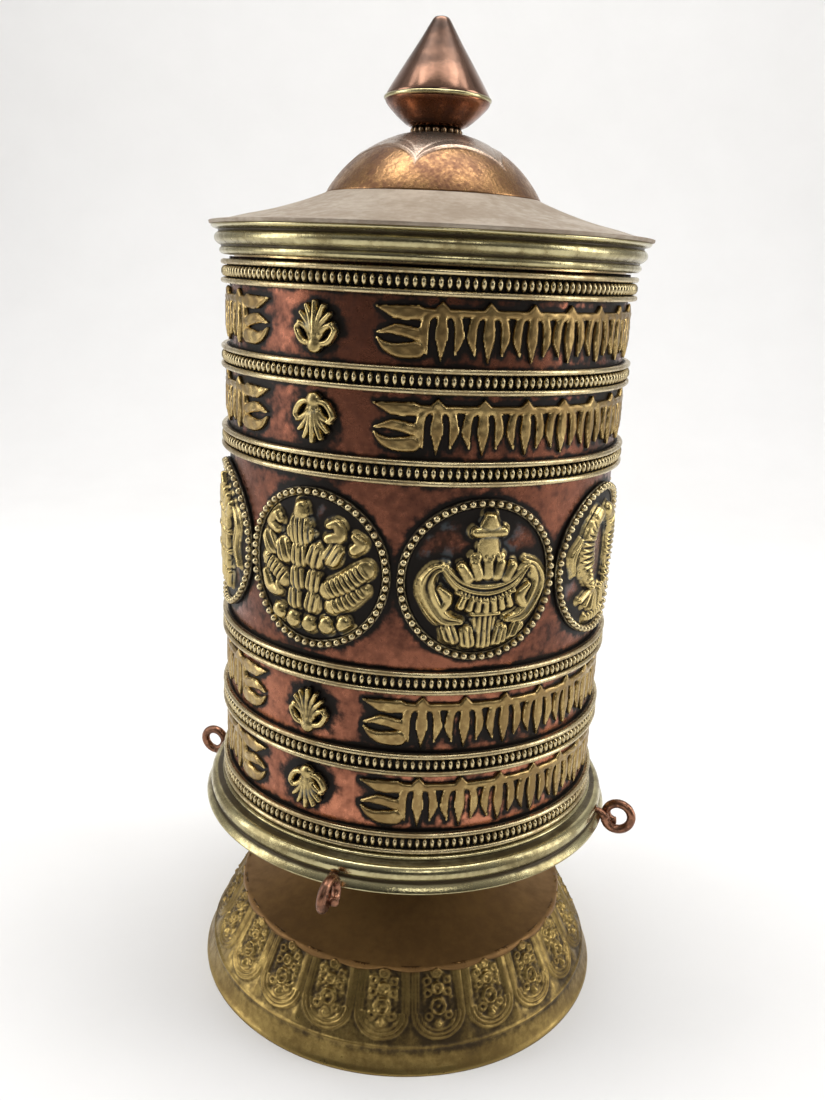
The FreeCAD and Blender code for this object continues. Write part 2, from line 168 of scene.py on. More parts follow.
def wobble(turn, height, amount, seed):
    """Hand-made unevenness in mm: a seeded sum of five slow waves round and along the piece."""
    rng = np.random.default_rng(seed)
    total = 0.0
    for _ in range(5):
        waves = rng.integers(2, 9)
        size, climb, start = rng.uniform(0.3, 1), rng.uniform(0.02, 0.2), rng.uniform(0, 6)
        total = total + size * np.sin(waves * turn + climb * height + start)
    return amount * total / 2.5


def on_drum(turn, radius, height):
    """Point at an azimuth (0 faces -Y, growing towards +X), a radius and a height."""
    turn, radius, height = np.broadcast_arrays(turn, radius, height)
    return np.stack([radius * np.sin(turn), -radius * np.cos(turn), height], -1)


def hollow(outline, reach=4):
    """How exposed each point is, 0 to 1: its radius against the mean radius of its neighbours on the
    outline."""
    mean = np.mean([np.roll(outline[:, 0], k) for k in range(-reach, reach + 1)], axis=0)
    return np.clip(0.5 + (outline[:, 0] - mean) / 0.9, 0, 1)


def spun(outline, columns=360, uneven=0.0, seed=0):
    """Carries an outline round the axis: a closed loop, or a line with both ends on the axis.

    Gives a shape, which is a tuple of points, faces and relief (0 in a hollow, 1 on a crest)."""
    outline = np.asarray(outline, float)
    poles = outline[0, 0] < 1e-6
    rows = outline[1:-1] if poles else outline
    turn = np.arange(columns) * 2 * np.pi / columns
    radius = rows[:, :1] + wobble(turn[None], rows[:, 1:], uneven, seed)
    points = on_drum(turn[None], radius, rows[:, 1:]).reshape(-1, 3)
    faces = [grid_faces(len(rows), columns, close_rows=not poles, close_columns=True)]
    relief = np.repeat(hollow(rows), columns)
    if poles:
        ring = np.arange(columns)
        after = (ring + 1) % columns
        last = (len(rows) - 1) * columns
        faces.append(np.stack([after, ring, len(points) + 0 * ring], -1))
        faces.append(np.stack([last + ring, last + after, len(points) + 1 + 0 * ring], -1))
        points = np.concatenate([points, on_drum(0.0, 0.0, outline[[0, -1], 1])])
        relief = np.concatenate([relief, [0.5, 0.5]])
    return points, faces, relief


def joined(*shapes):
    """Several closed shapes as one. Each is turned right side out before its faces are renumbered."""
    points, faces, relief, count = [], [], [], 0
    for shape_points, shape_faces, shape_relief in shapes:
        flip = signed_volume(shape_points, shape_faces) < 0
        faces += [(kind[:, ::-1] if flip else kind) + count for kind in shape_faces if len(kind)]
        points.append(shape_points)
        relief.append(shape_relief)
        count += len(shape_points)
    return np.concatenate(points), faces, np.concatenate(relief)


def put_shape(name, *shapes, smooth=True, **fields):
    """One mesh from several closed shapes, with their relief numbers joined in the same order."""
    points, faces, relief = joined(*shapes)
    return put_mesh(name, points, faces, smooth, relief=relief, **fields)


print("a closed smooth circle has", len(fair([(1, 0), (0, 1), (-1, 0), (0, -1)], 4, True)), "points")

# %% [markdown]
# ## Stage, camera and light
# The wheel stands on a pale seamless sweep: a floor that curves up into a backdrop, as in a small product
# studio. The camera is close and looks a little down, so the drum's lower rings open up like smiles while
# the lid is seen edge on. It is also held slightly askew, which is a roll about its own line of sight.

# %% Camera
CAMERA_PLACE = np.array([6.5, -257.3, 190.7])
PITCH = math.radians(15.72)
YAW = math.radians(1.68)
ROLL = math.radians(2.66)
LENS = 32.9


def make_camera():
    """Right, up and back axes from yaw and pitch, then right and up turned by the roll."""
    right = np.array([math.cos(YAW), math.sin(YAW), 0])
    ahead = np.array([-math.sin(YAW) * math.cos(PITCH), math.cos(YAW) * math.cos(PITCH), -math.sin(PITCH)])
    up = np.cross(right, ahead)
    rolled_right = math.cos(ROLL) * right + math.sin(ROLL) * up
    rolled_up = math.cos(ROLL) * up - math.sin(ROLL) * right
    data = bpy.data.cameras.new("camera")
    data.lens = LENS
    data.sensor_width = 36
    data.clip_start = 0.01
    camera = bpy.data.objects.new("camera", data)
    bpy.context.scene.collection.objects.link(camera)
    matrix = np.eye(4)
    matrix[:3] = np.stack([rolled_right, rolled_up, -ahead, CAMERA_PLACE * MM], 1)
    camera.matrix_world = Matrix(matrix.tolist())
    bpy.context.scene.camera = camera
    return camera


camera = make_camera()
print("camera", [round(v, 3) for v in camera.location], "lens", LENS)

# %% Lights and sweep


def make_sweep():
    """A floor that bends up in a quarter circle; 1.6 m wide, so every view of the wheel has it underfoot."""
    bend = np.linspace(0, math.pi / 2, 24)
    depth = np.concatenate([[-1500.0], 500 + 350 * np.sin(bend), [850.0]])
    height = np.concatenate([[0.0], 350 - 350 * np.cos(bend), [1800.0]])
    across = np.array([-1600.0, 1600.0])
    points = np.stack(np.broadcast_arrays(across[None], depth[:, None], height[:, None]), -1).reshape(-1, 3)
    sweep = put_mesh("floor_sweep", points, [grid_faces(len(depth), 2)])
    return sweep


def area_light(name, place, target, size, power, tint=(1, 1, 1)):
    """A rectangular light at place; its back points from the target to the place, its side lies level."""
    data = bpy.data.lights.new(name, "AREA")
    data.shape = "RECTANGLE"
    data.size, data.size_y = size
    data.energy = power
    data.color = tint
    light = bpy.data.objects.new(name, data)
    bpy.context.scene.collection.objects.link(light)
    place, target = np.array(place, float), np.array(target, float)
    back = (place - target) / np.linalg.norm(place - target)
    side = np.cross([0, 0, 1.0], back) if abs(back[2]) < 0.99 else np.array([1.0, 0, 0])
    side /= np.linalg.norm(side)
    matrix = np.eye(4)
    matrix[:3] = np.stack([side, np.cross(back, side), back, place], 1)
    light.matrix_world = Matrix(matrix.tolist())
    return light


sweep = make_sweep()
area_light("top_softbox", (0.0, 0.05, 0.95), (0, 0, 0.12), (0.8, 0.5), 5.0)
area_light("left_softbox", (-0.8, -0.1, 0.4), (0, 0, 0.14), (0.35, 0.8), 3.2)
area_light("right_softbox", (0.85, -0.05, 0.45), (0, 0, 0.14), (0.35, 0.8), 3.6)
area_light("front_fill", (0.25, -0.9, 0.85), (0, 0, 0.12), (0.35, 0.25), 1.2)
area_light("sweep_wash", (0.0, 0.1, 1.2), (0, 0.85, 0.35), (1.6, 0.4), 4.4)
world = bpy.data.worlds.new("studio")
world.use_nodes = True
sky = world.node_tree
ramp = sky.nodes.new("ShaderNodeMapRange")
ramp.interpolation_type = "SMOOTHSTEP"
ramp.inputs["From Min"].default_value = -0.95
ramp.inputs["From Max"].default_value = -0.1
ramp.inputs["To Min"].default_value = 0.05
ramp.inputs["To Max"].default_value = 0.50
split = sky.nodes.new("ShaderNodeSeparateXYZ")
sky.links.new(sky.nodes.new("ShaderNodeTexCoord").outputs["Generated"], split.inputs[0])
sky.links.new(split.outputs["Y"], ramp.inputs["Value"])
sky.links.new(ramp.outputs["Result"], sky.nodes["Background"].inputs["Strength"])
sky.nodes["Background"].inputs["Color"].default_value = (0.98, 0.98, 1.0, 1)
bpy.context.scene.world = world
bpy.context.scene.view_settings.view_transform = "Standard"

# %% [markdown]
# ## Drawing with distances
# Cut and cast ornament is drawn with distance functions. For a bar with round ends, the distance to its
# outline is the distance to the bar's middle line minus its half width, negative inside. Many bars joined
# are simply the smallest of their distances. One array of distances gives the outline, the bevel along
# it, and the dark line round every applied piece, partly old polish that collects there and partly painted
# shade.

# %% Bars, strands and lumps


def bell(distance, width):
    """1 on the line, falling away on both sides like exp(-x * x)."""
    return np.exp(-(distance / width) ** 2)


def strand(u, v, path, widths, per=5):
    """Tapered bars along a smooth path. Gives, at each point, the distance to the outline of the
    nearest bar, the length along the path in mm, and the sideways place across it from -1 to 1."""
    path = fair(path, per) if len(path) > 2 else np.asarray(path, float)
    step = np.linalg.norm(np.diff(path, axis=0), axis=1)
    length = np.concatenate([[0], np.cumsum(step)])
    wide = np.interp(length / length[-1], np.linspace(0, 1, len(widths)), widths)
    far = np.full(np.shape(u), 1e9)
    along = np.zeros(np.shape(u))
    across = np.zeros(np.shape(u))
    for k in range(len(path) - 1):
        du, dv = path[k + 1] - path[k]
        t = np.clip(((u - path[k, 0]) * du + (v - path[k, 1]) * dv) / (du * du + dv * dv + 1e-9), 0, 1)
        off_u, off_v = u - path[k, 0] - du * t, v - path[k, 1] - dv * t
        width = wide[k] + (wide[k + 1] - wide[k]) * t
        gap = np.hypot(off_u, off_v)
        nearer = gap - width < far
        far = np.where(nearer, gap - width, far)
        along = np.where(nearer, length[k] + step[k] * t, along)
        side = np.sign(du * off_v - dv * off_u)
        across = np.where(nearer, side * gap / width, across)
    return far, along, across


def lump(u, v, path, widths, rise, ribs=0.0, flutes=0):
    """A rounded bar seen as height: rise times a circle's arch across it, cut by ribs of that pitch
    across the bar and by a number of flutes along it. Gives height and distance."""
    far, along, across = strand(u, v, path, widths)
    arch = np.sqrt(np.clip(1 - across ** 2, 0, 1)) * (far < 0)
    height = rise * (0.35 * (far < 0) + 0.65 * arch)
    if ribs:
        height = height - 0.34 * rise * arch * (0.5 + 0.5 * np.cos(2 * np.pi * along / ribs))
    if flutes:
        height = height - 0.30 * rise * arch * (0.5 + 0.5 * np.cos(np.pi * flutes * across))
    return height, far


def stack(lumps):
    """The union of lumps: the highest height and the smallest distance."""
    return np.max([h for h, _ in lumps], axis=0), np.min([d for _, d in lumps], axis=0)


def exposure(height, reach=3):
    """0 in a hollow, 1 on a crest: the height against its mean over a small square of neighbours."""
    mean = height.copy()
    for axis in (0, 1):
        mean = np.mean([np.roll(mean, k, axis) for k in range(-reach, reach + 1)], axis=0)
    return np.clip(0.5 + (height - mean) / 0.62, 0, 1)


def wrap(u, v, rise, azimuth, middle):
    """Bends a flat drawing round the drum: u mm to the right is an angle of u / radius."""
    return on_drum(azimuth + u / DRUM, DRUM + rise, middle + v)


# %% [markdown]
# ## Cut plates
# An applied brass piece is a plate cut along the zero line of the distance. On a square grid that line
# would look like stairs, so every grid point within about half a cell of the line is moved onto it: it
# steps by its own distance along the slope of the distance. Squares with four inside corners stay,
# corners with three become triangles, and every edge that only one face uses gets a wall down into the
# drum.

# %% A plate from a distance field


def cut_plate(u, v, far, top, relief, sink=0.35):
    """Closed solid over the region where far is negative; top is the height of its upper face, in mm."""
    cell = u[0, 1] - u[0, 0]
    slope_v, slope_u = np.gradient(far, cell)
    steep = np.maximum(slope_u ** 2 + slope_v ** 2, 0.3)
    near = np.abs(far) < 0.56 * cell
    u = u - np.where(near, np.clip(far * slope_u / steep, -cell, cell) * 0.95, 0)
    v = v - np.where(near, np.clip(far * slope_v / steep, -cell, cell) * 0.95, 0)
    inside = ((far < 0) | near).ravel()
    quads = grid_faces(*far.shape)
    count = inside[quads].sum(1)
    whole = quads[count == 4]
    part = quads[count == 3]
    triangles = part[inside[part]].reshape(-1, 3)
    used = np.zeros(inside.size, bool)
    used[whole.ravel()] = True
    used[triangles.ravel()] = True
    index = np.cumsum(used) - 1
    whole, triangles = index[whole], index[triangles]
    n = int(used.sum())
    edges = [np.stack([kind, np.roll(kind, -1, 1)], -1).reshape(-1, 2) for kind in (whole, triangles)]
    edges = np.concatenate(edges)
    lone = ~np.isin(edges[:, 0] * n + edges[:, 1], edges[:, 1] * n + edges[:, 0])
    a, b = edges[lone].T
    walls = np.stack([b, a, a + n, b + n], -1)
    faces = [np.concatenate([whole, whole[:, ::-1] + n, walls])]
    faces.append(np.concatenate([triangles, triangles[:, ::-1] + n]))
    flat = np.stack([u.ravel()[used], v.ravel()[used]], -1)
    rise = np.concatenate([top.ravel()[used], np.full(n, -sink)])
    # The foot of every wall gets relief 0, so the walls turn black: partly residue, partly painted shade
    # where the plate meets the drum.
    shown = np.concatenate([relief.ravel()[used], np.zeros(n)])
    return np.concatenate([flat, flat]), rise, faces, shown


def wrapped(plate, azimuth, middle):
    """The plate as a shape on the drum."""
    flat, rise, faces, shown = plate
    return wrap(flat[:, 0], flat[:, 1], rise, azimuth, middle), faces, shown


grid = np.meshgrid(np.arange(-3, 3.1, 0.25), np.arange(-3, 3.1, 0.25))
dot = np.hypot(*grid) - 2.0
print("a cut disc has", len(cut_plate(*grid, dot, 0 * dot + 1, 0 * dot)[0]), "points")

# %% [markdown]
# ## Beads
# The strips are drawn wire pressed into rows of beads. Hundreds of them show, each about a millimetre
# wide, so a bead is a low ball: a few rings of points between two poles, stretched along its own three
# axes.

# %% Many small balls at once


def balls(centres, axes, radii, around=8, along=5):
    """Ellipsoids: centre + sum of radius * unit ball * axis. axes holds three unit vectors for every
    centre."""
    tilt = np.linspace(0, np.pi, along + 1)[1:-1, None]
    turn = np.arange(around)[None] * 2 * np.pi / around
    sides = np.broadcast_arrays(np.sin(tilt) * np.cos(turn), np.sin(tilt) * np.sin(turn), np.cos(tilt))
    ball = np.stack(sides, -1)
    ball = np.concatenate([ball.reshape(-1, 3), [[0, 0, 1], [0, 0, -1]]])
    quads = grid_faces(along - 1, around, close_columns=True)
    ring = np.arange(around)
    after = (ring + 1) % around
    last = (along - 2) * around
    caps = np.concatenate([
        np.stack([after, ring, len(ball) - 2 + 0 * ring], -1),
        np.stack([last + ring, last + after, len(ball) - 1 + 0 * ring], -1),
    ])
    centres = np.asarray(centres, float)
    points = centres[:, None] + np.einsum("pk,nkx->npx", ball * np.asarray(radii), axes)
    offset = (np.arange(len(centres)) * len(ball))[:, None, None]
    faces = [(quads[None] + offset).reshape(-1, 4), (caps[None] + offset).reshape(-1, 3)]
    return points.reshape(-1, 3), faces, np.tile(0.5 + 0.5 * ball[:, 0], len(centres))


def beads_round(count, radius, middle, radii, start=0.0):
    """A row of beads round the axis; their own axes point outwards, sideways and up."""
    turn = start + np.arange(count) * 2 * np.pi / count
    out = on_drum(turn, 1.0, 0.0)
    side = on_drum(turn + np.pi / 2, 1.0, 0.0)
    up = np.broadcast_to([0.0, 0.0, 1.0], out.shape)
    return balls(on_drum(turn, radius, middle), np.stack([out, side, up], 1), radii)


def wire_arc(radius, height, thick, start=0.0, stop=360.0, steps=12):
    """Points of a round wire's section, from one angle to another in degrees."""
    angle = np.radians(np.linspace(start, stop, steps))
    return np.stack([radius + thick * np.cos(angle), height + thick * np.sin(angle)], -1)


def make_strip(number):
    """Dark ground, a wire along each edge, and upright oval beads between them."""
    z = STRIP_Z[number - 1]
    wire = radius_of(f"bead_strip_{number}") - DRUM - 0.68
    section = np.concatenate([
        [[DRUM - 0.3, z - 2.62], [DRUM + 0.45, z - 2.62]],
        wire_arc(DRUM + wire, z - 2.12, 0.62, -125, 125, 13),
        [[DRUM + 0.5, z - 1.35], [DRUM + 0.5, z + 1.35]],
        wire_arc(DRUM + wire, z + 2.12, 0.62, -125, 125, 13),
        [[DRUM + 0.45, z + 2.62], [DRUM - 0.3, z + 2.62]],
    ])
    ground = spun(section, 360, 0.05, 10 + number)
    row = beads_round(180, DRUM + 1.0, z, (1.0, 0.62, 1.32), 0.004 * number)
    return put_shape(f"strip_{number}", ground, row)


strips = [make_strip(number) for number in range(1, 7)]

# %% [markdown]
# ## Friezes
# Each band carries two lengths of cut brass. From a continuous rail hangs the same group of three petals
# over and over, like lotus petals round a bowl, under a small crown. Three pointed leaves close the
# frieze at either end.

# %% The strokes of a frieze
FRIEZE_LENGTH = FRIEZE_SWEEP * DRUM
FRIEZE_TALL = high_of("frieze_1") - low_of("frieze_1")
RAIL = FRIEZE_TALL - 2.7


def petals(x):
    """A pointed petal under a small crown, between two side petals that arch out and mirror each other."""
    strokes = [([(x, RAIL), (x, 5.4), (x, 0.9)], [0.95, 1.35, 0.15])]
    strokes.append(([(x, RAIL + 0.6), (x, RAIL + 2.2)], [1.7, 0.2]))
    for side in (-1, 1):
        arch = [(0.9, RAIL - 0.1), (2.9, RAIL - 0.9), (3.6, 6.0), (2.9, 2.2)]
        strokes.append(([(x + side * out, y) for out, y in arch], [0.8, 0.95, 1.05, 0.12]))
    return strokes


def leaves(start, way):
    """Three pointed leaves at an end of the frieze; way is 1 at the left end and -1 at the right end."""
    paths = [
        ([(9.6, RAIL - 0.2), (5.2, RAIL - 0.2), (0.9, RAIL + 0.8)], [1.5, 1.45, 0.12]),
        ([(9.4, 6.1), (5.2, 6.9), (1.2, 6.2)], [1.25, 1.2, 0.12]),
        ([(9.4, 2.9), (5.6, 2.7), (3.0, 3.5), (1.2, 5.2)], [1.75, 1.6, 1.05, 0.12]),
    ]
    return [([(start + way * x, y) for x, y in path], widths) for path, widths in paths]


def frieze_strokes():
    """Leaves at both ends, and between them the same three hanging petals over and over."""
    strokes = [([(9.0, RAIL), (FRIEZE_LENGTH - 9.0, RAIL)], [0.85, 0.85])]
    strokes += leaves(0.0, 1) + leaves(FRIEZE_LENGTH, -1)
    count = round((FRIEZE_LENGTH - 19.0) / 9.8)
    pitch = (FRIEZE_LENGTH - 19.0) / count
    for k in range(count):
        strokes += petals(9.5 + pitch * (k + 0.5))
    return strokes


CELL = 0.28
frieze_u, frieze_v = np.meshgrid(
    np.arange(-2.1, FRIEZE_LENGTH + 2.1, CELL), np.arange(-1.4, FRIEZE_TALL + 1.4, CELL))
stroke_fields = [strand(frieze_u, frieze_v, path, widths, 4)[0] for path, widths in frieze_strokes()]
frieze_far = np.min(stroke_fields, axis=0)
print("frieze drawn:", len(frieze_strokes()), "strokes on", frieze_far.size, "points")

# %% Friezes on the drum


def make_frieze(number):
    """Bevelled plate: the top rises from 0.5 mm to full height over the first 0.6 mm from the outline."""
    low, high = low_of(f"frieze_{number}"), high_of(f"frieze_{number}")
    inward = np.clip(-frieze_far / 0.6, 0, 1)
    grain = 0.05 * np.sin(1.7 * frieze_u + 0.9 * np.sin(2.3 * frieze_v))
    top = 0.5 + 0.5 * np.sin(inward * np.pi / 2) + grain
    shown = np.clip(0.66 + 0.34 * np.exp(-((inward - 0.25) / 0.3) ** 2), 0, 1)
    plate = cut_plate(frieze_u, frieze_v, frieze_far, top, shown)
    plate[0][:, 1] *= (high - low) / FRIEZE_TALL
    lengths = [wrapped(plate, FRIEZE_START + turn, low) for turn in (0, np.pi)]
    piece = put_shape(f"frieze_plate_{number}", *lengths)
    piece.data.set_sharp_from_angle(angle=math.radians(50))
    return piece


friezes = [make_frieze(number) for number in range(1, 5)]

# %% [markdown]
# ## Buds
# Where two frieze lengths meet sits a small cast bud: a round boss with fingers fanned over it and two
# outer leaves that curl back. It points up in one band and down in the next.

# %% Bud ornaments


def bud_lumps(u, v):
    """Seven fingers fan out of a boss; the outer pair curls over."""
    lumps = []
    for k in range(-3, 4):
        lean = math.radians(23 * k)
        tip = (6.0 - 0.28 * abs(k) ** 1.3) * np.array([math.sin(lean) * 0.9, math.cos(lean)])
        bend = tip * 0.55 + np.array([-0.25 * k, 0.45])
        path = [(0.3 * k, -3.4), tuple(bend + [0, -2.4]), tuple(tip + [0, -1.2])]
        lumps.append(lump(u, v, path, [0.5, 0.92, 0.55], 1.9 - 0.12 * abs(k)))
    for side in (-1, 1):
        curl = [(side * 0.9, -3.8), (side * 3.2, -3.2), (side * 4.6, -0.8), (side * 3.6, 0.4)]
        lumps.append(lump(u, v, curl, [0.6, 0.8, 0.75, 0.5], 1.7))
    lumps.append(lump(u, v, [(0, -4.0), (0.01, -4.0)], [1.8, 1.8], 2.1))
    lumps.append(lump(u, v, [(-1.6, -1.9), (1.6, -1.9)], [0.45, 0.45], 2.0, ribs=0.8))
    return lumps


bud_u, bud_v = np.meshgrid(np.arange(-6.2, 6.3, 0.2), np.arange(-6.6, 6.7, 0.2))


def make_buds(number):
    """Two buds on opposite sides of the drum."""
    middle = (low_of(f"buds_{number}") + high_of(f"buds_{number}")) / 2
    height, far = stack(bud_lumps(bud_u, bud_v if number % 2 else -bud_v))
    plate = cut_plate(bud_u, bud_v, far, 0.25 + height, exposure(height))
    pair = [wrapped(plate, FRONT_TURN + turn, middle) for turn in (0, np.pi)]
    return put_shape(f"bud_pair_{number}", *pair, zone=np.zeros(sum(len(shape[0]) for shape in pair)))


buds = [make_buds(number) for number in range(1, 5)]

# %% [markdown]
# ## Medallions
# Eight round plates carry cast figures: a bundle of petals, a vase with scarves, two fishes, a knot, a
# wheel, a shell, a lotus and a banner. A figure is a pile of ribbed and fluted lumps, and the pile's
# height is simply the highest lump at each point. The square grid under it is squeezed into a disc by x *
# sqrt(1 - y * y / 2) and the same for y, which keeps the cells even up to the round edge.

# %% Figures


def lobe(u, v, x, y, lean, half, wide, rise=2.0, flutes=0):
    """An upright lump centred on (x, y), turned by lean degrees to the right and cut by straight lines
    into as many flutes: the cut is a cosine of the sideways place across the lobe."""
    a = math.radians(lean)
    ends = [(x + way * math.sin(a), y + way * math.cos(a)) for way in (-half, half)]
    height, far = lump(u, v, ends, [wide, wide * 0.82], rise)
    if flutes:
        sideways = ((u - x) * math.cos(a) - (v - y) * math.sin(a)) / wide
        height = height * (0.87 - 0.13 * np.cos(np.pi * flutes * (sideways + 1)))
    return height, far


def petal_bundle(u, v):
    """Lobes that overlap like shingles: a cap and a ribbed crown on top between curls, a row that
    leans outwards, ribbed strands at both sides, and a stem and bosses below."""
    lumps = [
        lobe(u, v, -2.6, 13.2, 0, 0.7, 1.9, 2.1),
        lobe(u, v, -2.7, 8.9, 0, 0.5, 3.7, 2.4, flutes=6),
        lump(u, v, [(-9.4, 7.6), (-11.2, 9.0), (-9.9, 11.0), (-8.4, 9.9)], [1.2, 1.5, 1.4, 0.9], 1.7),
        lump(u, v, [(4.4, 7.6), (7.2, 8.6), (6.4, 11.0), (4.6, 10.7)], [1.2, 1.6, 1.4, 0.9], 1.8),
        lump(u, v, [(10.4, 5.8), (11.8, 7.2), (10.4, 8.8)], [1.3, 1.4, 0.9], 1.5),
        lump(u, v, [(-12.8, 0.2), (-10.0, -1.4), (-6.9, -3.6)], [1.6, 2.1, 2.0], 2.0, ribs=1.25),
        lump(u, v, [(4.4, -4.2), (8.6, -1.8), (13.0, 1.6)], [2.1, 2.4, 2.1], 2.1, ribs=1.3),
        lump(u, v, [(5.6, -8.0), (9.4, -6.0), (12.8, -3.2)], [1.7, 1.9, 1.4], 1.6, ribs=1.4),
        lump(u, v, [(-13.0, -3.2), (-11.6, -6.4), (-8.6, -6.8), (-8.8, -5.0)], [1.0, 1.5, 1.4, 0.9], 1.7),
        lobe(u, v, -3.2, -2.2, -3, 1.1, 2.2, 2.1, flutes=3),
        lobe(u, v, 0.9, -2.4, 8, 1.1, 2.1, 2.0, flutes=3),
        lobe(u, v, -4.0, -7.2, 0, 1.0, 2.1, 1.8, flutes=3),
        lobe(u, v, 0.6, -7.4, 12, 1.0, 2.1, 1.7, flutes=3),
    ]
    lumps += [lobe(u, v, -11.4 + 4.3 * k, 4.5 - 0.35 * k * (4 - k), -30 + 15 * k, 1.0, 2.45, 2.2, flutes=3)
              for k in range(5)]
    lumps += [lobe(u, v, -8.6 + 4.3 * k, -11.4 - 1.2 * math.sin(0.8 * k), 0, 0.3, 2.0, 1.9)
              for k in range(5)]
    return lumps


def scarf(u, v, side, lift=0.0):
    """A ribbon that leaves at the top, swings out and curls under."""
    path = [(side * 9.0, 3.6 + lift), (side * 11.6, 2.6), (side * 13.0, -0.6), (side * 11.8, -4.4),
            (side * 9.0, -8.2), (side * 5.4, -9.0)]
    return [
        lump(u, v, path, [0.8, 1.5, 2.3, 2.1, 1.9, 0.8], 1.8, flutes=2),
        lump(u, v, [(side * 10.2, -1.4), (side * 8.4, -3.8), (side * 9.2, -5.8)], [0.7, 1.4, 1.0], 1.7),
    ]


def vase(u, v):
    """Jewel, brim, neck and petalled shoulder over a draped bowl with a fluted foot, between two scarves."""
    u = u - 1.0
    lumps = [
        lump(u, v, [(0, 12.6), (0, 14.6)], [2.5, 1.5], 2.2),
        lump(u, v, [(-3.0, 11.3), (3.0, 11.3)], [1.25, 1.25], 2.3),
        lobe(u, v, 0, 8.0, 0, 1.6, 2.7, 1.9),
        lump(u, v, [(-3.0, 5.6), (3.0, 5.6)], [1.1, 1.1], 2.2, ribs=1.5),
        lump(u, v, [(-9.6, 3.6), (-5.6, -0.4), (0, -1.8), (5.6, -0.4), (9.6, 3.6)],
             [0.9, 1.9, 2.4, 1.9, 0.9], 2.1, flutes=3),
        lump(u, v, [(-6.2, -2.2), (0, -4.2), (6.2, -2.2)], [0.7, 1.0, 0.7], 2.3, ribs=0.9),
        lobe(u, v, 0, -8.8, 180, 1.6, 3.0, 1.8, flutes=5),
        lump(u, v, [(-3.0, -7.2), (3.0, -7.2)], [0.6, 0.6], 2.1),
    ]
    lumps += [lobe(u, v, 2.5 * k, 3.2 - 0.22 * k * k, 16 * k, 1.4, 1.55, 2.25) for k in range(-2, 3)]
    lumps += [lobe(u, v, 1.75 * k, -5.3 + 0.1 * k * k, -6 * k, 1.0, 1.0, 2.3) for k in range(-3, 4)]
    lumps += [lobe(u, v, 3.8 * k, -12.8 + 0.25 * k * k, 10 * k, 1.2, 2.0, 1.9, flutes=3)
              for k in range(-2, 3)]
    return lumps + scarf(u, v, -1) + scarf(u, v, 1, 0.6)


def fishes(u, v):
    """Two scaled bodies side by side, bent towards each other, with fluted tails and fins."""
    lumps = []
    for side in (-1, 1):
        body = [(side * 2.6, 11.5), (side * 6.6, 7.5), (side * 7.2, 0.5), (side * 4.2, -6.4)]
        lumps.append(lump(u, v, body, [1.4, 3.0, 3.1, 1.0], 2.2, ribs=1.3))
        lumps.append(lump(u, v, [(side * 2.9, 11.6), (side * 4.3, 10.6)], [1.8, 1.9], 2.3))
        for k in range(4):
            lean = side * (190 - 26 * k)
            lumps.append(lobe(u, v, side * (1.2 + 1.9 * k), -10.4 + 0.8 * k, lean, 2.2, 0.85, 1.6))
        fin = [(side * 10.2, 6.2), (side * 13.0, 2.6), (side * 12.4, -1.6)]
        lumps.append(lump(u, v, fin, [0.6, 1.3, 0.5], 1.4, flutes=2))
    lumps += [lobe(u, v, 1.7 * k, -14.2, 4 * k, 0.5, 0.8, 1.2) for k in range(-3, 4)]
    return lumps


def knot(u, v):
    """A lattice of ribbons: each passes to the far side, turns in a loop and comes back."""
    lumps = []
    for k in range(-1, 2):
        for side in (-1, 1):
            path = [(-8.5 + 4.2 * k, 4.2 * k + 4.3), (4.2 * k, 4.2 * k), (8.5 + 4.2 * k, 4.2 * k - 4.3)]
            path = [(side * (x - 4.2 * k) * 0.85, y * 0.9 + (x - 4.2 * k) * 0.25) for x, y in path]
            lumps.append(lump(u, v, path, [0.85, 0.95, 0.85], 1.8 + 0.2 * side))
    for k in range(8):
        a = k * math.pi / 4
        lumps.append(lump(u, v, [(9.2 * math.cos(a + b), 9.2 * math.sin(a + b)) for b in (-0.3, 0.0, 0.3)],
                          [0.8, 1.1, 0.8], 2.0, ribs=1.0))
        lumps.append(lobe(u, v, 12.8 * math.cos(a), 12.8 * math.sin(a), 90 - math.degrees(a), 1.3, 1.3, 1.6))
    return lumps


def wheel(u, v):
    """Hub, eight spokes, a ribbed felloe and small flames outside it."""
    lumps = [lump(u, v, [(0, 0), (0.01, 0)], [2.6, 2.6], 2.3)]
    rim = [(9.4 * math.cos(a), 9.4 * math.sin(a)) for a in np.linspace(0, 2 * math.pi, 25)]
    lumps.append(lump(u, v, rim, [1.5, 1.5], 2.0, ribs=1.2))
    for k in range(8):
        a = k * math.pi / 4
        spoke = [(reach * math.cos(a), reach * math.sin(a)) for reach in (1.5, 8.6)]
        lumps.append(lump(u, v, spoke,
                          [0.7, 0.9], 1.9))
    lumps += [lobe(u, v, 13.2 * math.sin(a), 13.2 * math.cos(a), math.degrees(a), 1.2, 1.1, 1.5)
              for a in np.arange(16) * math.pi / 8]
    return lumps


def shell(u, v):
    """A whorl: one ribbed strand that winds in and thins out, with a scarf below."""
    angle = np.linspace(0, 3.4 * math.pi, 26)
    reach = 9.8 * np.exp(-angle / 7.5)
    path = np.stack([reach * np.cos(angle - 1.0) - 1.0, reach * np.sin(angle - 1.0) + 2.4], -1)
    lumps = [lump(u, v, path, [3.0, 2.4, 1.8, 1.2, 0.7], 2.2, ribs=1.3)]
    lumps += [lobe(u, v, 2.2 * k, -12.4 + 0.12 * k * k, 7 * k, 1.2, 1.2, 1.5) for k in range(-4, 5)]
    return lumps + scarf(u, v, -1) + scarf(u, v, 1)


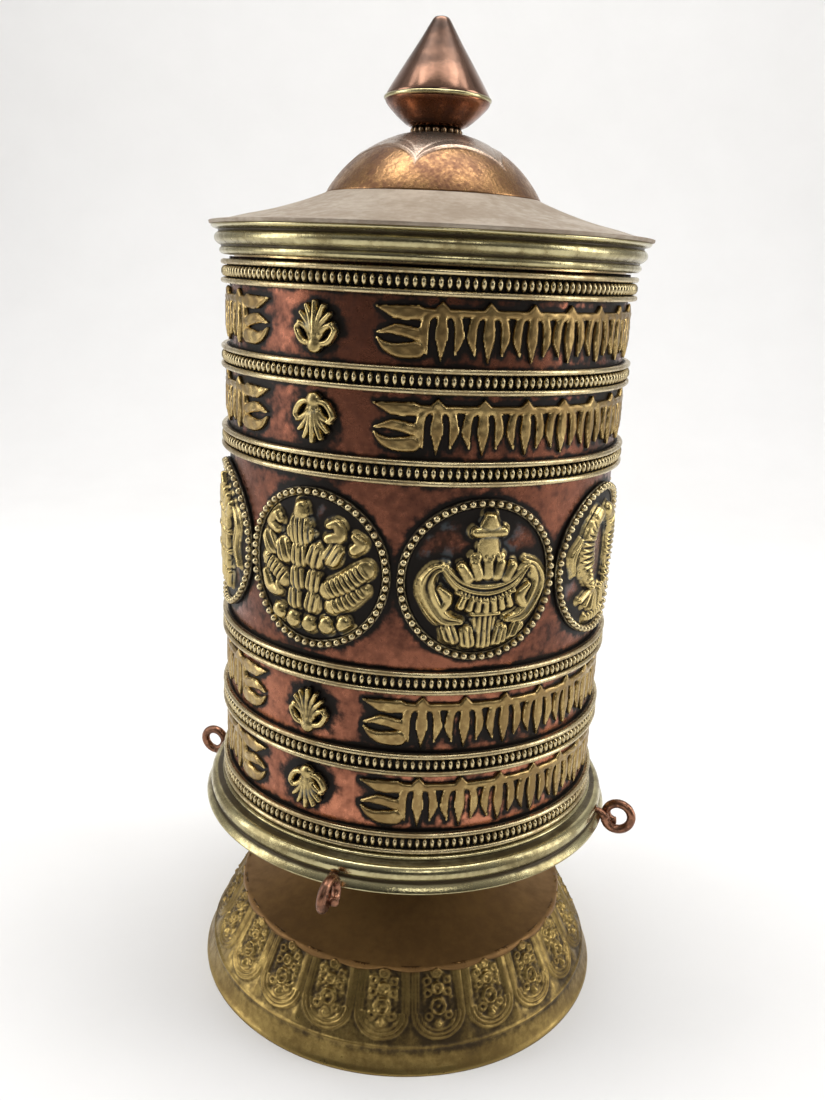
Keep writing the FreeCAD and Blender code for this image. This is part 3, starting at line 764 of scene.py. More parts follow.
def lotus(u, v):
    """Three tiers of petals fanned from one point, the inner ones in front."""
    lumps = []
    for reach, count, wide, rise in ((11.6, 9, 2.1, 1.5), (8.2, 7, 2.2, 1.9), (4.8, 5, 2.0, 2.2)):
        for k in range(count):
            lean = (k - (count - 1) / 2) * 150 / count
            a = math.radians(lean)
            x, y = reach * math.sin(a), reach * math.cos(a) - 4.6
            lumps.append(lobe(u, v, x, y, lean, 2.0, wide, rise, flutes=2))
    lumps += [lobe(u, v, 2.3 * k, -9.4 + 0.1 * k * k, 8 * k, 1.5, 1.2, 1.7) for k in range(-4, 5)]
    lumps.append(lump(u, v, [(-6.0, -6.2), (6.0, -6.2)], [0.9, 0.9], 2.2, ribs=1.0))
    for side in (-1, 1):
        wave = [(side * 3.0, -12.6), (side * 7.4, -12.8), (side * 9.6, -10.6)]
        lumps.append(lump(u, v, wave, [0.8, 0.9, 0.4], 1.4))
    return lumps


def banner(u, v):
    """A fluted canopy over stacked tiers of hanging cloth, with a fringe."""
    lumps = [lump(u, v, [(0, 12.6), (0, 14.6)], [1.6, 0.8], 2.1)]
    lumps += [lobe(u, v, 2.3 * k, 9.8 - 0.28 * k * k, 12 * k, 1.5, 1.35, 2.1) for k in range(-3, 4)]
    for tier in range(3):
        y = 4.6 - 4.9 * tier
        lumps.append(lump(u, v, [(-6.8, y + 1.6), (6.8, y + 1.6)], [0.75, 0.75], 2.2, ribs=1.1))
        lumps += [lobe(u, v, 1.9 * k, y - 0.6, 0, 1.4, 1.05, 1.9) for k in range(-3, 4)]
    lumps += [lobe(u, v, 1.9 * k, -9.8 - 0.3 * abs(k), 5 * k, 1.6, 0.9, 1.7) for k in range(-3, 4)]
    for side in (-1, 1):
        streamer = [(side * 8.6, 8.2), (side * 11.6, 4.6), (side * 10.2, -0.6), (side * 12.2, -5.6)]
        lumps.append(lump(u, v, streamer, [0.6, 1.2, 1.3, 0.5], 1.5, flutes=2))
    return lumps


FIGURES = [petal_bundle, vase, fishes, knot, wheel, shell, lotus, banner]
print("figures:", ", ".join(figure.__name__ for figure in FIGURES))

# %% Plates and beaded rings
MEDALLION_Z = (low_of("medallion_1") + high_of("medallion_1")) / 2
PLATE = (high_of("medallion_1") - low_of("medallion_1")) / 2
RING = (high_of("medallion_ring_1") - low_of("medallion_ring_1")) / 2


def disc_grid(radius, n=128):
    """A square grid squeezed into a disc: x times sqrt(1 - y squared / 2), and the same for y."""
    x, y = np.meshgrid(np.linspace(-1, 1, n), np.linspace(-1, 1, n))
    return radius * x * np.sqrt(1 - y ** 2 / 2), radius * y * np.sqrt(1 - x ** 2 / 2)


def backed(u, v, height, relief, azimuth, middle, sink=0.3):
    """A relief on the drum, closed behind. The back is made of strips that run straight up and down,
    because only along its height is the drum straight."""
    n = len(u)
    number = np.arange(n * n)
    square = number.reshape(n, n)
    rim = np.concatenate([square[0, :-1], square[:-1, -1], square[-1, :0:-1], square[:0:-1, 0]])
    after = np.roll(rim, -1)
    low = np.full(n * n, -1)
    low[rim] = n * n + np.arange(len(rim))
    walls = np.stack([after, rim, low[rim], low[after]], -1)
    low = low.reshape(n, n)
    under = np.stack([low[0, :-1], low[-1, :-1], low[-1, 1:], low[0, 1:]], -1)
    i = np.arange(n // 2 - 1)
    west, east = low[:, 0], low[:, -1]
    left = np.stack([west[i], west[i + 1], west[n - 2 - i], west[n - 1 - i]], -1)
    right = np.stack([east[i], east[n - 1 - i], east[n - 2 - i], east[i + 1]], -1)
    top = wrap(u, v, height, azimuth, middle).reshape(-1, 3)
    back = wrap(u.ravel()[rim], v.ravel()[rim], -sink, azimuth, middle)
    faces = [np.concatenate([grid_faces(n, n), walls, under, left, right])]
    return np.concatenate([top, back]), faces, np.concatenate([relief.ravel(), 0 * rim])


def make_medallion(number):
    """A figure on its plate. The ground shows where the distance to the figure is positive; it is made
    darker as exp(-distance / 1.6) round the figure and darker again towards the plate's rim."""
    u, v = disc_grid(PLATE - 0.15)
    height, far = stack(FIGURES[number - 1](u, v))
    reach = np.hypot(u, v)
    edge = np.clip((PLATE - 0.4 - reach) / 1.0, 0, 1)
    far = far - 0.75
    height = 0.5 + np.maximum(height, 0.55 * np.clip(-far / 0.5, 0, 1)) * edge
    ground = np.clip(far / 0.4, 0, 1)
    # The ground is made darker next to the figure and again towards the plate's rim.
    ground_darkening = 0.75 * np.exp(-np.clip(far, 0, None) / 1.6) + 0.75 * np.exp((reach - PLATE) / 1.8)
    open_ground = np.clip(0.80 - ground_darkening, 0, 1)
    relief = (1 - ground) * np.clip(exposure(height) + 0.12, 0, 1) + ground * open_ground
    turn = FRONT_TURN + (number - 1) * math.pi / 4
    points, faces, relief = backed(u, v, height, relief, turn, MEDALLION_Z)
    zone = np.concatenate([ground.ravel(), np.ones(len(points) - ground.size)])
    return put_mesh(f"figure_{number}", points, faces, relief=relief, zone=zone)


def make_medallion_ring(number):
    """A channel with two raised lips, and 54 beads in it."""
    turn = FRONT_TURN + (number - 1) * math.pi / 4
    section = np.array([(PLATE, -0.3), (PLATE, 0.7), (PLATE + 0.18, 0.98), (PLATE + 0.4, 0.62),
                        (RING - 0.42, 0.62), (RING - 0.2, 0.9), (RING, 0.6), (RING, -0.3)])
    phi = np.arange(132) * 2 * np.pi / 132
    reach = section[:, :1]
    points = wrap(reach * np.cos(phi), reach * np.sin(phi), section[:, 1:], turn, MEDALLION_Z).reshape(-1, 3)
    shown = np.repeat(section[:, 1] * 0.5, len(phi))
    channel = points, [grid_faces(len(section), len(phi), True, True)], shown
    phi = np.arange(54) * 2 * np.pi / 54
    u, v = (PLATE + RING) / 2 * np.cos(phi), (PLATE + RING) / 2 * np.sin(phi)
    out = on_drum(turn + u / DRUM, 1.0, 0.0)
    side = on_drum(turn + u / DRUM + np.pi / 2, 1.0, 0.0)
    up = np.broadcast_to([0.0, 0.0, 1.0], out.shape)
    row = balls(wrap(u, v, 0.95, turn, MEDALLION_Z), np.stack([out, side, up], 1), (1.15, 0.9, 0.9))
    return put_shape(f"bead_circle_{number}", channel, row)


medallions = [make_medallion(number) for number in range(1, 9)]
medallion_rings = [make_medallion_ring(number) for number in range(1, 9)]

# %% [markdown]
# ## The copper shell
# The sheet between the ornaments darkens close to every applied edge: partly old polish and soot that stay,
# partly painted shade where raised pieces meet the sheet. Each point of the shell carries a number for this
# grime and painted shade that fades with its distance from the nearest strip, stroke, bud or ring:
# exp(-distance / reach). The frieze's own distance field is read back for this, blended between its grid
# points.

# %% Shell with grime and painted shade


def frieze_distance(turn, height):
    """Distance to the nearest stroke, by bilinear blending of the frieze's grid."""
    u = np.mod(turn - FRIEZE_START, np.pi) * DRUM
    far = np.full(np.shape(u), 9.0)
    for number in range(1, 5):
        v = height - low_of(f"frieze_{number}")
        x = (u - frieze_u[0, 0]) / CELL
        y = (v - frieze_v[0, 0]) / CELL
        ok = (x >= 0) & (x < frieze_far.shape[1] - 1) & (y >= 0) & (y < frieze_far.shape[0] - 1)
        i, j = np.where(ok, y, 0).astype(int), np.where(ok, x, 0).astype(int)
        a, b = np.where(ok, y - i, 0), np.where(ok, x - j, 0)
        value = ((1 - a) * ((1 - b) * frieze_far[i, j] + b * frieze_far[i, j + 1])
                 + a * ((1 - b) * frieze_far[i + 1, j] + b * frieze_far[i + 1, j + 1]))
        far = np.where(ok, np.minimum(far, value), far)
    return far


def angle_from(turn, centre):
    """Signed angle between two azimuths."""
    return np.mod(turn - centre + np.pi, 2 * np.pi) - np.pi


def make_shell():
    """Outer wall in fine rows, then the lip and the inner wall in two."""
    low, high = low_of("drum_shell"), high_of("drum_shell")
    rows = [np.arange(low, high, 1.3)]
    rows += [np.arange(low_of(f"frieze_{k}"), high_of(f"frieze_{k}"), 0.5) for k in range(1, 5)]
    rows = np.unique(np.round(np.concatenate([*rows, [high]]), 1))
    rows = rows[np.concatenate([[True], np.diff(rows) > 0.25])]
    rows[-1] = high
    columns = 480
    turn = np.arange(columns)[None] * 2 * np.pi / columns
    height = rows[:, None]
    # The copper is darkened next to every applied piece: partly old polish and soot, partly painted shade
    # from the raised pieces.
    dirt_and_shade = np.exp(-np.clip(frieze_distance(turn + 0 * height, height + 0 * turn), 0, None) / 1.8)
    for z in STRIP_Z:
        dirt_and_shade = np.maximum(dirt_and_shade, np.exp(-np.clip(np.abs(height - z) - 2.6, 0, None) / 1.2))
    for k in range(8):
        reach = np.hypot(angle_from(turn, FRONT_TURN + k * np.pi / 4) * DRUM, height - MEDALLION_Z)
        dirt_and_shade = np.maximum(dirt_and_shade, np.exp(-np.clip(reach - RING, 0, None) / 2.0))
    for number in range(1, 5):
        middle = (low_of(f"buds_{number}") + high_of(f"buds_{number}")) / 2
        for side in (0, np.pi):
            reach = np.hypot(angle_from(turn, FRONT_TURN + side) * DRUM, height - middle)
            dirt_and_shade = np.maximum(dirt_and_shade, np.exp(-np.clip(reach - 4.8, 0, None) / 3.6))
    dents = wobble(turn, height, 0.07, 3)
    outer = on_drum(turn, DRUM + dents, height)
    inner_rows = np.array([[high], [low]])
    inner = on_drum(turn, DRUM - 0.8, inner_rows)
    points = np.concatenate([outer, inner]).reshape(-1, 3)
    dirt_and_shade = np.concatenate([dirt_and_shade, np.full((2, columns), 0.5)]).ravel()
    faces = [grid_faces(len(rows) + 2, columns, True, True)]
    cleaner = np.clip(1.6 - (points[:, 2] - low) / (high - low) * 3.8, 0, 1)
    shown = np.minimum(1 - dirt_and_shade, 0.71 + 0.19 * cleaner)
    return put_mesh("copper_shell", points, faces, relief=shown, zone=cleaner)


copper_shell = make_shell()

# %% [markdown]
# ## Mouldings, lid and finial
# The lower moulding is, from the top, a step, a groove, a big round and a flange. The lid's moulding has
# two convex bands between grooves under a sharp lip. The lid itself is a low hollow cone with an embossed
# dome.

# %% Lower rim and lid moulding
rim_top, rim_base = high_of("lower_rim"), low_of("lower_rim")
RAISED = np.array([0.0, rim_base])
rim_outline = np.concatenate([
    [(DRUM - 0.1, rim_base), (52.2, rim_base - 0.05)],
    RAISED + fair([(54.6, -0.02), (55.15, 0.25), (55.05, 0.75), (54.45, 1.55), (53.5, 2.35)], 4),
    wire_arc(51.95, rim_base + 4.05, 2.12, -38, 66, 18),
    RAISED + fair([(52.1, 6.0), (51.1, 6.15), (50.75, 6.35), (50.98, 6.75), (50.9, 7.15), (50.3, 7.4),
                   (49.7, 7.45)], 4),
    [(49.55, rim_top + 0.05), (DRUM - 0.1, rim_top + 0.1)],
])
rim = put_shape("rim_moulding", spun(rim_outline, 420, 0.06, 21))

moulding_base = low_of("lid_moulding")
moulding_outline = np.concatenate([
    [(DRUM + 0.35, moulding_base)],
    fair([(49.8, moulding_base), (50.4, moulding_base + 0.15), (50.95, moulding_base + 0.75),
          (50.85, moulding_base + 1.4), (50.5, moulding_base + 1.75)], 5),
    fair([(50.55, moulding_base + 2.1), (51.15, moulding_base + 2.35), (51.95, moulding_base + 3.1),
          (52.15, moulding_base + 3.9), (51.85, moulding_base + 4.65), (51.25, moulding_base + 5.05)], 5),
    fair([(51.15, moulding_base + 5.5), (51.6, moulding_base + 5.75), (52.3, moulding_base + 5.9),
          (52.85, moulding_base + 6.3)], 4),
    [(52.9, high_of("lid_moulding") + 0.1), (DRUM + 0.35, high_of("lid_moulding") + 0.1)],
])
moulding = put_shape("lid_bands", spun(moulding_outline, 420, 0.05, 22))

# %% Lid cone and embossed dome
LIP, LIP_Z = radius_of("lid_cone"), low_of("lid_cone") + 0.8
FOOT, FOOT_Z = radius_of("lid_dome"), high_of("lid_cone")
cone_outline = np.concatenate([
    [(LIP - 0.45, LIP_Z - 0.75)],
    fair([(LIP - 0.05, LIP_Z - 0.55), (LIP + 0.02, LIP_Z - 0.15), (LIP - 0.35, LIP_Z + 0.12),
          (LIP - 3.9, LIP_Z + 0.62), (45.5, 200.75), (39.0, 202.3), (33.0, 204.15), (28.5, 205.8),
          (FOOT, FOOT_Z)], 6),
    fair([(FOOT - 0.85, FOOT_Z), (FOOT - 0.85, FOOT_Z - 0.9), (33.0, 203.2), (39.0, 201.4), (45.5, 199.85),
          (50.5, 198.75)], 5),
])
lid_cone = put_shape("cone_sheet", spun(cone_outline, 360, 0.08, 23))


def make_dome():
    """A spherical cap whose skin is pushed out along a scalloped line of six arches and stippled below
    it.

    The line's height is 0.4 + 0.35 * sqrt(1 - x * x) of the cap, where x runs from -1 to 1 across an
    arch."""
    curve = 29.6
    top, bore = high_of("lid_dome"), 6.0
    centre = FOOT_Z - math.sqrt(curve ** 2 - FOOT ** 2)
    bend = np.linspace(math.asin(FOOT / curve), math.asin(8.0 / curve), 64)[:, None]
    columns = 660
    turn = np.arange(columns)[None] * 2 * np.pi / columns
    rise = (curve * np.cos(bend) + centre - FOOT_Z) / (top - FOOT_Z)
    arch = 2 * np.mod((turn + math.radians(10.5)) / (math.pi / 3), 1.0) - 1
    line = 0.40 + 0.35 * np.sqrt(np.clip(1 - arch ** 2, 0, 1))
    off = (rise - line) * (top - FOOT_Z) * 1.15
    below = 1 / (1 + np.exp(off / 0.25))
    x, y = turn * curve * np.sin(bend), curve * bend
    dots = np.clip(np.sin(5.1 * x + 2.0 * np.sin(1.3 * y)) * np.sin(4.7 * y + 1.7 * np.sin(1.1 * x)), 0, 1)
    push = 0.16 * bell(off - 0.5, 0.42) - 0.24 * bell(off, 0.26) - 0.12 * bell(off - 1.9, 0.22)
    push = push + 0.05 * below * dots
    push = push * np.clip((rise - 0.01) / 0.06, 0, 1) + 0.12 * below * (1 - rise)
    skin = on_drum(turn, (curve + push) * np.sin(bend), centre + (curve + push) * np.cos(bend))
    lip = on_drum(turn, bore, top)
    inner = [on_drum(turn, np.array([[bore]]), np.array([[top - 0.8]]))]
    inner_bend = np.linspace(math.asin(8.0 / curve), math.asin((FOOT - 0.8) / (curve - 0.8)), 8)[:, None]
    within = curve - 0.8
    inner.append(on_drum(turn, within * np.sin(inner_bend), centre + within * np.cos(inner_bend)))
    points = np.concatenate([skin, lip, *inner]).reshape(-1, 3)
    rest = np.full((10, columns), 0.5)
    shown = 0.72 + 1.5 * np.minimum(push, 0) + 0.9 * np.clip(push, 0, 0.2) - 0.1 * below * (1 - dots)
    relief = np.concatenate([np.clip(shown, 0, 1), rest]).ravel()
    zone = np.concatenate([below + 0 * push, 0 * rest]).ravel()
    return put_mesh("dome_cap", points, [grid_faces(64 + 10, columns, True, True)], relief=relief, zone=zone)


dome = make_dome()

# %% Finial
bead_low, bead_high = low_of("finial_beads"), high_of("finial_beads")
bowl_top, bowl_rim = high_of("finial_bowl"), radius_of("finial_bowl")
seam_top, tip = high_of("finial_band"), high_of("finial_cone")
bead_mid = (bead_low + bead_high) / 2
collar = put_shape(
    "bead_collar",
    spun([(4.05, bead_low), (5.5, bead_low), (5.0, bead_mid), (5.5, bead_high), (4.05, bead_high)], 120),
    beads_round(19, 5.35, bead_mid, (0.95, 0.84, 1.02)),
)
bowl = put_shape("bowl_half", spun(np.concatenate([
    [(5.2, bead_high)],
    fair([(6.2, bead_high), (7.6, bead_high + 0.75), (9.7, bead_high + 2.45), (11.6, bead_high + 4.35),
          (12.3, bead_high + 5.3), (bowl_rim, bowl_top)], 8),
    fair([(bowl_rim - 0.8, bowl_top), (10.8, bead_high + 4.6), (9.2, bead_high + 3.1),
          (7.2, bead_high + 1.4), (5.2, bead_high + 0.85)], 5),
]), 200, 0.02, 31))
seam = put_shape("seam_ring", spun(np.concatenate([
    [(bowl_rim - 0.7, bowl_top)],
    wire_arc(bowl_rim - 0.15, (bowl_top + seam_top) / 2, 0.5, -80, 80, 9),
    [(bowl_rim - 0.7, seam_top)],
]), 200, 0.02, 32))
cone_rise = tip - seam_top
finial_cone = put_shape("cone_half", spun(np.concatenate([
    [(0.0, tip - 1.5), (1.0, tip - 1.6), (bowl_rim - 0.9, seam_top)],
    fair([(bowl_rim - 0.15, seam_top), (bowl_rim - 0.35, seam_top + 0.7),
          (10.5, seam_top + cone_rise * 0.19), (7.6, seam_top + cone_rise * 0.45),
          (4.8, seam_top + cone_rise * 0.70), (2.7, seam_top + cone_rise * 0.90),
          (1.75, tip - 0.35), (0.9, tip)], 7),
    [(0.0, tip + 0.1)],
]), 200, 0.03, 33))

# %% Turning loops


def tube_along(path, radius, around=12):
    """A round wire along a path. Its cross section is carried by the path's direction and a slowly
    turning normal."""
    ahead = np.gradient(path, axis=0)
    ahead /= np.linalg.norm(ahead, axis=1)[:, None]
    normal = np.zeros_like(path)
    normal[0] = np.cross(ahead[0], [0.3, 0.1, 1.0])
    for k in range(1, len(path)):
        normal[k] = normal[k - 1] - ahead[k] * (normal[k - 1] @ ahead[k])
        normal[k] /= np.linalg.norm(normal[k])
    normal[0] /= np.linalg.norm(normal[0])
    other = np.cross(ahead, normal)
    turn = np.arange(around)[None, :, None] * 2 * np.pi / around
    thick = radius * np.concatenate([[0.55, 0.9], np.ones(len(path) - 4), [0.9, 0.55]])[:, None, None]
    skin = path[:, None] + thick * (np.cos(turn) * normal[:, None] + np.sin(turn) * other[:, None])
    ring = np.arange(around)
    after = (ring + 1) % around
    last = (len(path) - 1) * around
    count = len(path) * around
    caps = np.concatenate([np.stack([after, ring, count + 0 * ring], -1),
                           np.stack([last + ring, last + after, count + 1 + 0 * ring], -1)])
    points = np.concatenate([skin.reshape(-1, 3), path[[0, -1]]])
    return points, [grid_faces(len(path), around, close_columns=True), caps], np.full(len(points), 0.6)


def make_loop(number):
    """A tail from the rim that winds once round an eye and tucks its end beside itself."""
    reach, z, eye = 59.7, 51.7, 3.45
    angle = np.radians(np.arange(180, 180 + 442, 8))
    turns = (angle - np.pi) / (2 * np.pi)
    shrink = eye - 1.25 * np.clip(turns - 0.95, 0, 1) * 3.2
    out = reach + shrink * np.cos(angle)
    up = z + shrink * np.sin(angle)
    side = -0.9 + 2.1 * turns
    tail = np.array([(51.6, 52.6, -0.4), (53.4, 52.6, -0.6), (55.2, 52.35, -0.8)])
    path = fair(np.concatenate([tail, np.stack([out, up, side], -1)[1:]]), 3)
    turn = LOOP_TURN + (number - 1) * math.pi / 2
    outwards, sideways = on_drum(turn, 1.0, 0.0), on_drum(turn + math.pi / 2, 1.0, 0.0)
    points = path[:, :1] * outwards + path[:, 2:] * sideways + path[:, 1:2] * np.array([0, 0, 1.0])
    return put_shape(f"wire_eye_{number}", tube_along(points, 1.18))


loops = [make_loop(number) for number in range(1, 5)]

# %% [markdown]
# ## The embossed skirt
# The foot is a flared sheet with 24 lotus petals chased into it. A petal is a distance again: to its two
# sides for most of its length, then to an ellipse that rounds its tip. Ridges are bell curves of that
# distance, so a double outline is two bells. Rings and drops fill the petals, and fine ribs fill the gaps
# between the tips.

# %% Petals chased into the skirt


def chasing(turn, slant, radius):
    """Height of the chased pattern in mm at an azimuth, a distance down the slope and a radius."""
    pitch = 2 * np.pi / 22
    x = (np.mod(turn - math.radians(-2.2) + pitch / 2, pitch) - pitch / 2) * radius
    half = pitch / 2 * radius
    tip = np.hypot(x / half, np.clip(slant - 11.0, 0, None) / 6.6) - 1
    far = np.where(slant < 11.0, np.abs(x) - half, tip * 5.2)
    height = 0.42 * bell(far + 0.45, 0.28) + 0.5 * bell(far + 1.2, 0.27) + 0.34 * bell(far + 1.95, 0.25)
    for y, size in ((1.8, 1.0), (5.4, 1.15), (9.6, 1.75)):
        height += 0.62 * bell(np.hypot(x, slant - y) - size, 0.36) + 0.5 * bell(np.hypot(x, slant - y), 0.55)
    for y in (3.6, 6.4, 11.8):
        height += 0.45 * bell(np.hypot(np.abs(x) - 2.5, slant - y) - 0.8, 0.33)
        height += 0.3 * bell(np.hypot(np.abs(x) - 3.4, slant - y - 1.5), 0.4)
    height += 0.75 * bell(np.hypot(x, slant - 13.6), 1.05)
    height += 0.5 * np.clip(far / 2.5, 0, 1) * np.clip((19.2 - slant) / 3.0, 0, 1)
    ripple = np.sin(2.9 * x + 1.3 * np.sin(1.9 * slant)) * np.sin(2.3 * slant)
    height += 0.12 * ripple * np.clip((-far - 2.4) / 0.8, 0, 1)
    height += 0.3 * bell(slant - 18.9, 0.4)
    return height, far


# The stand's turning sizes: where the plain border ends, the top of the chased cone, the flat on top of
# the neck, and the radius of the neck's hollow curve.
BORDER = (53.4, 6.0)
SKIRT_TOP = 44.2
NECK_FLAT = 15.0
NECK_HOLLOW = 42.0


def make_skirt():
    """A cone whose chased relief is pushed out along its normal, then a plain border that swells to the
    foot as the power 1.2 of the way down, with a row of punched dots and a rounded edge."""
    foot, border, top = (radius_of("base_skirt"), 0.0), BORDER, (SKIRT_TOP, high_of("base_skirt"))
    run = math.hypot(border[0] - top[0], top[1] - border[1])
    out = np.array([top[1] - border[1], border[0] - top[0]]) / run
    columns = 24 * 32
    turn = np.arange(columns)[None] * 2 * np.pi / columns
    slant = np.linspace(0, run, 86)[:, None]
    radius = top[0] + (border[0] - top[0]) * slant / run
    height = top[1] + (border[1] - top[1]) * slant / run
    push, far = chasing(turn, slant, radius)
    push = 1.4 * push
    cone = on_drum(turn, radius + push * out[0], height + push * out[1])
    down = np.linspace(0.08, 1, 13)[:, None]
    plain = border[0] + (foot[0] - border[0]) * down ** 1.2
    fall = border[1] * (1 - down)
    around = np.mod(turn / (2 * np.pi) * 240, 1.0)
    dots = 0.13 * bell(np.hypot((around - 0.5) * 1.4, fall - 4.3), 0.35)
    edge = 0.25 * bell(fall - 0.5, 0.45)
    skin = on_drum(turn, plain + dots + edge + wobble(turn, fall, 0.05, 41), fall)
    inner = on_drum(turn, np.array([[foot[0] - 1.0], [border[0] - 1.0], [top[0] - 1.0]]),
                    np.array([[0.0], [border[1]], [top[1] - 0.45]]))
    points = np.concatenate([cone, skin, inner]).reshape(-1, 3)
    chased = np.clip(0.40 + 0.58 * push, 0, 1)
    rubbed = np.clip(0.74 - 0.3 * bell(fall - 5.8, 1.6) + 0.8 * (dots + edge), 0, 1)
    relief = np.concatenate([chased, rubbed, np.full((3, columns), 0.5)]).ravel()
    zone = np.concatenate([np.clip(1.2 - slant / 1.6 + 0.35 * bell(far, 1.2), 0, 1) + 0 * push,
                           np.zeros((len(down) + 3, columns))]).ravel()
    faces = [grid_faces(86 + 13 + 3, columns, True, True)]
    return put_mesh("petal_skirt", points, faces, relief=relief, zone=zone)


skirt = make_skirt()

# %% Neck drawn over the skirt


def make_neck():
    """A spun sheet: flat top, hollow curve of 42 mm radius, then a ragged edge hammered down over the skirt.

    The edge lies 1.2 mm down the slope, plus a scallop |sin| and a slow unevenness."""
    top, low = high_of("base_neck"), high_of("base_skirt")
    start, end = np.array([NECK_FLAT, top]), np.array([SKIRT_TOP, low])
    middle, span = (start + end) / 2, end - start
    half = np.hypot(*span) / 2
    across = np.array([-span[1], span[0]]) / (2 * half)
    centre = middle + across * math.sqrt(NECK_HOLLOW ** 2 - half ** 2)
    a, b = (math.atan2(*(point - centre)[::-1]) for point in (start, end))
    a, b = (angle + 2 * math.pi * (angle < 0) for angle in (a, b))
    bend = np.linspace(a, b, 40)
    curve = centre + NECK_HOLLOW * np.stack([np.cos(bend), np.sin(bend)], -1)
    columns = 22 * 16
    turn = np.arange(columns)[None] * 2 * np.pi / columns
    outer = on_drum(turn, curve[:, :1], curve[:, 1:])
    slope = np.array([9.2, -16.9]) / math.hypot(9.2, 16.9)
    ragged = 0.9 + 0.8 * np.abs(np.sin(11 * (turn + 0.04))) + wobble(turn, 0.0, 0.35, 61)
    steps = np.array([[0.35], [0.7], [1.0]])
    spread, drop = 0.55 + steps * ragged * slope[0], 0.35 + steps * ragged * slope[1]
    edge = on_drum(turn, SKIRT_TOP + spread, low + drop)
    under = on_drum(turn, 43.3 + 0 * ragged, low - 0.3)[:1]
    inside = on_drum(turn, curve[::-3, :1] - 0.5, curve[::-3, 1:] - 0.7)
    hub = on_drum(turn, np.array([[4.1], [4.1]]), np.array([[top - 0.9], [top]]))
    points = np.concatenate([outer, edge, under, inside, hub])
    return put_mesh("neck_sheet", points.reshape(-1, 3), [grid_faces(len(points), columns, True, True)])


neck = make_neck()

# %% [markdown]
# ## The scroll inside
# With the lid off, the rolled prayer paper shows: hundreds of turns of thin paper whose edges never line
# up quite exactly, on a card tube, in a yellow cloth with two ribbons. The paper's top is a row of small
# steps.

# %% Paper, tube, cloth and ribbons


def make_scroll():
    """A roll turned from an outline: every 0.55 mm of radius its top steps to a new random height."""
    low, high = low_of("prayer_scroll"), high_of("prayer_scroll")
    rng = np.random.default_rng(8)
    edge = np.repeat(np.arange(9.15, 41.9, 0.55), 2)[1:-1]
    lift = np.repeat(rng.uniform(-0.45, 0.1, len(edge) // 2), 2)
    top = np.stack([edge, high + lift], -1)
    foot = [(9.1, low), (41.9, low), (41.95, high - 0.6)]
    outline = np.concatenate([foot, top[::-1], [(9.1, high - 0.5)]])
    return put_shape("paper_roll", spun(outline, 240, 0.05, 51))


def soft_sleeve(node, inner, seed, uneven):
    """A thin sleeve with rounded ends and a slack, uneven surface."""
    low, high, outer = low_of(node), high_of(node), radius_of(node)
    rows = np.linspace(low + 0.6, high - 0.6, max(int((high - low) / 1.5), 5))
    outline = np.concatenate([
        [(inner, low + 0.3), (outer - 0.3, low), (outer - 0.05, low + 0.25)],
        np.stack([outer + 0 * rows, rows], -1),
        [(outer - 0.05, high - 0.25), (outer - 0.3, high), (inner, high - 0.3)],
    ])
    return spun(outline, 240, uneven, seed)


paper = make_scroll()
cloth = put_shape("yellow_cloth", soft_sleeve("scroll_wrap", 42.02, 52, 0.12))
tube_top = high_of("scroll_core")
core = put_shape("card_tube", spun(np.concatenate([
    [(7.25, low_of("scroll_core")), (9.0, low_of("scroll_core"))],
    fair([(9.0, tube_top - 0.3), (8.8, tube_top), (7.5, tube_top + 0.02), (7.25, tube_top - 0.3)], 3),
]), 160, 0.02, 53))


def make_ties():
    """Two flat ribbons round the cloth."""
    sleeves = []
    half = 3.0
    outer = radius_of("scroll_ties")
    inner = radius_of("scroll_wrap")
    for k, z in enumerate((STRIP_Z[4], STRIP_Z[2])):
        rows = np.linspace(-half, half, 9)
        bulge = outer - 0.35 * (rows / half) ** 2
        outline = np.concatenate([[(inner, z - half)], np.stack([bulge, z + rows], -1), [(inner, z + half)]])
        sleeves.append(spun(outline, 240, 0.08, 55 + k))
    return put_shape("red_ribbons", *sleeves)


ties = make_ties()
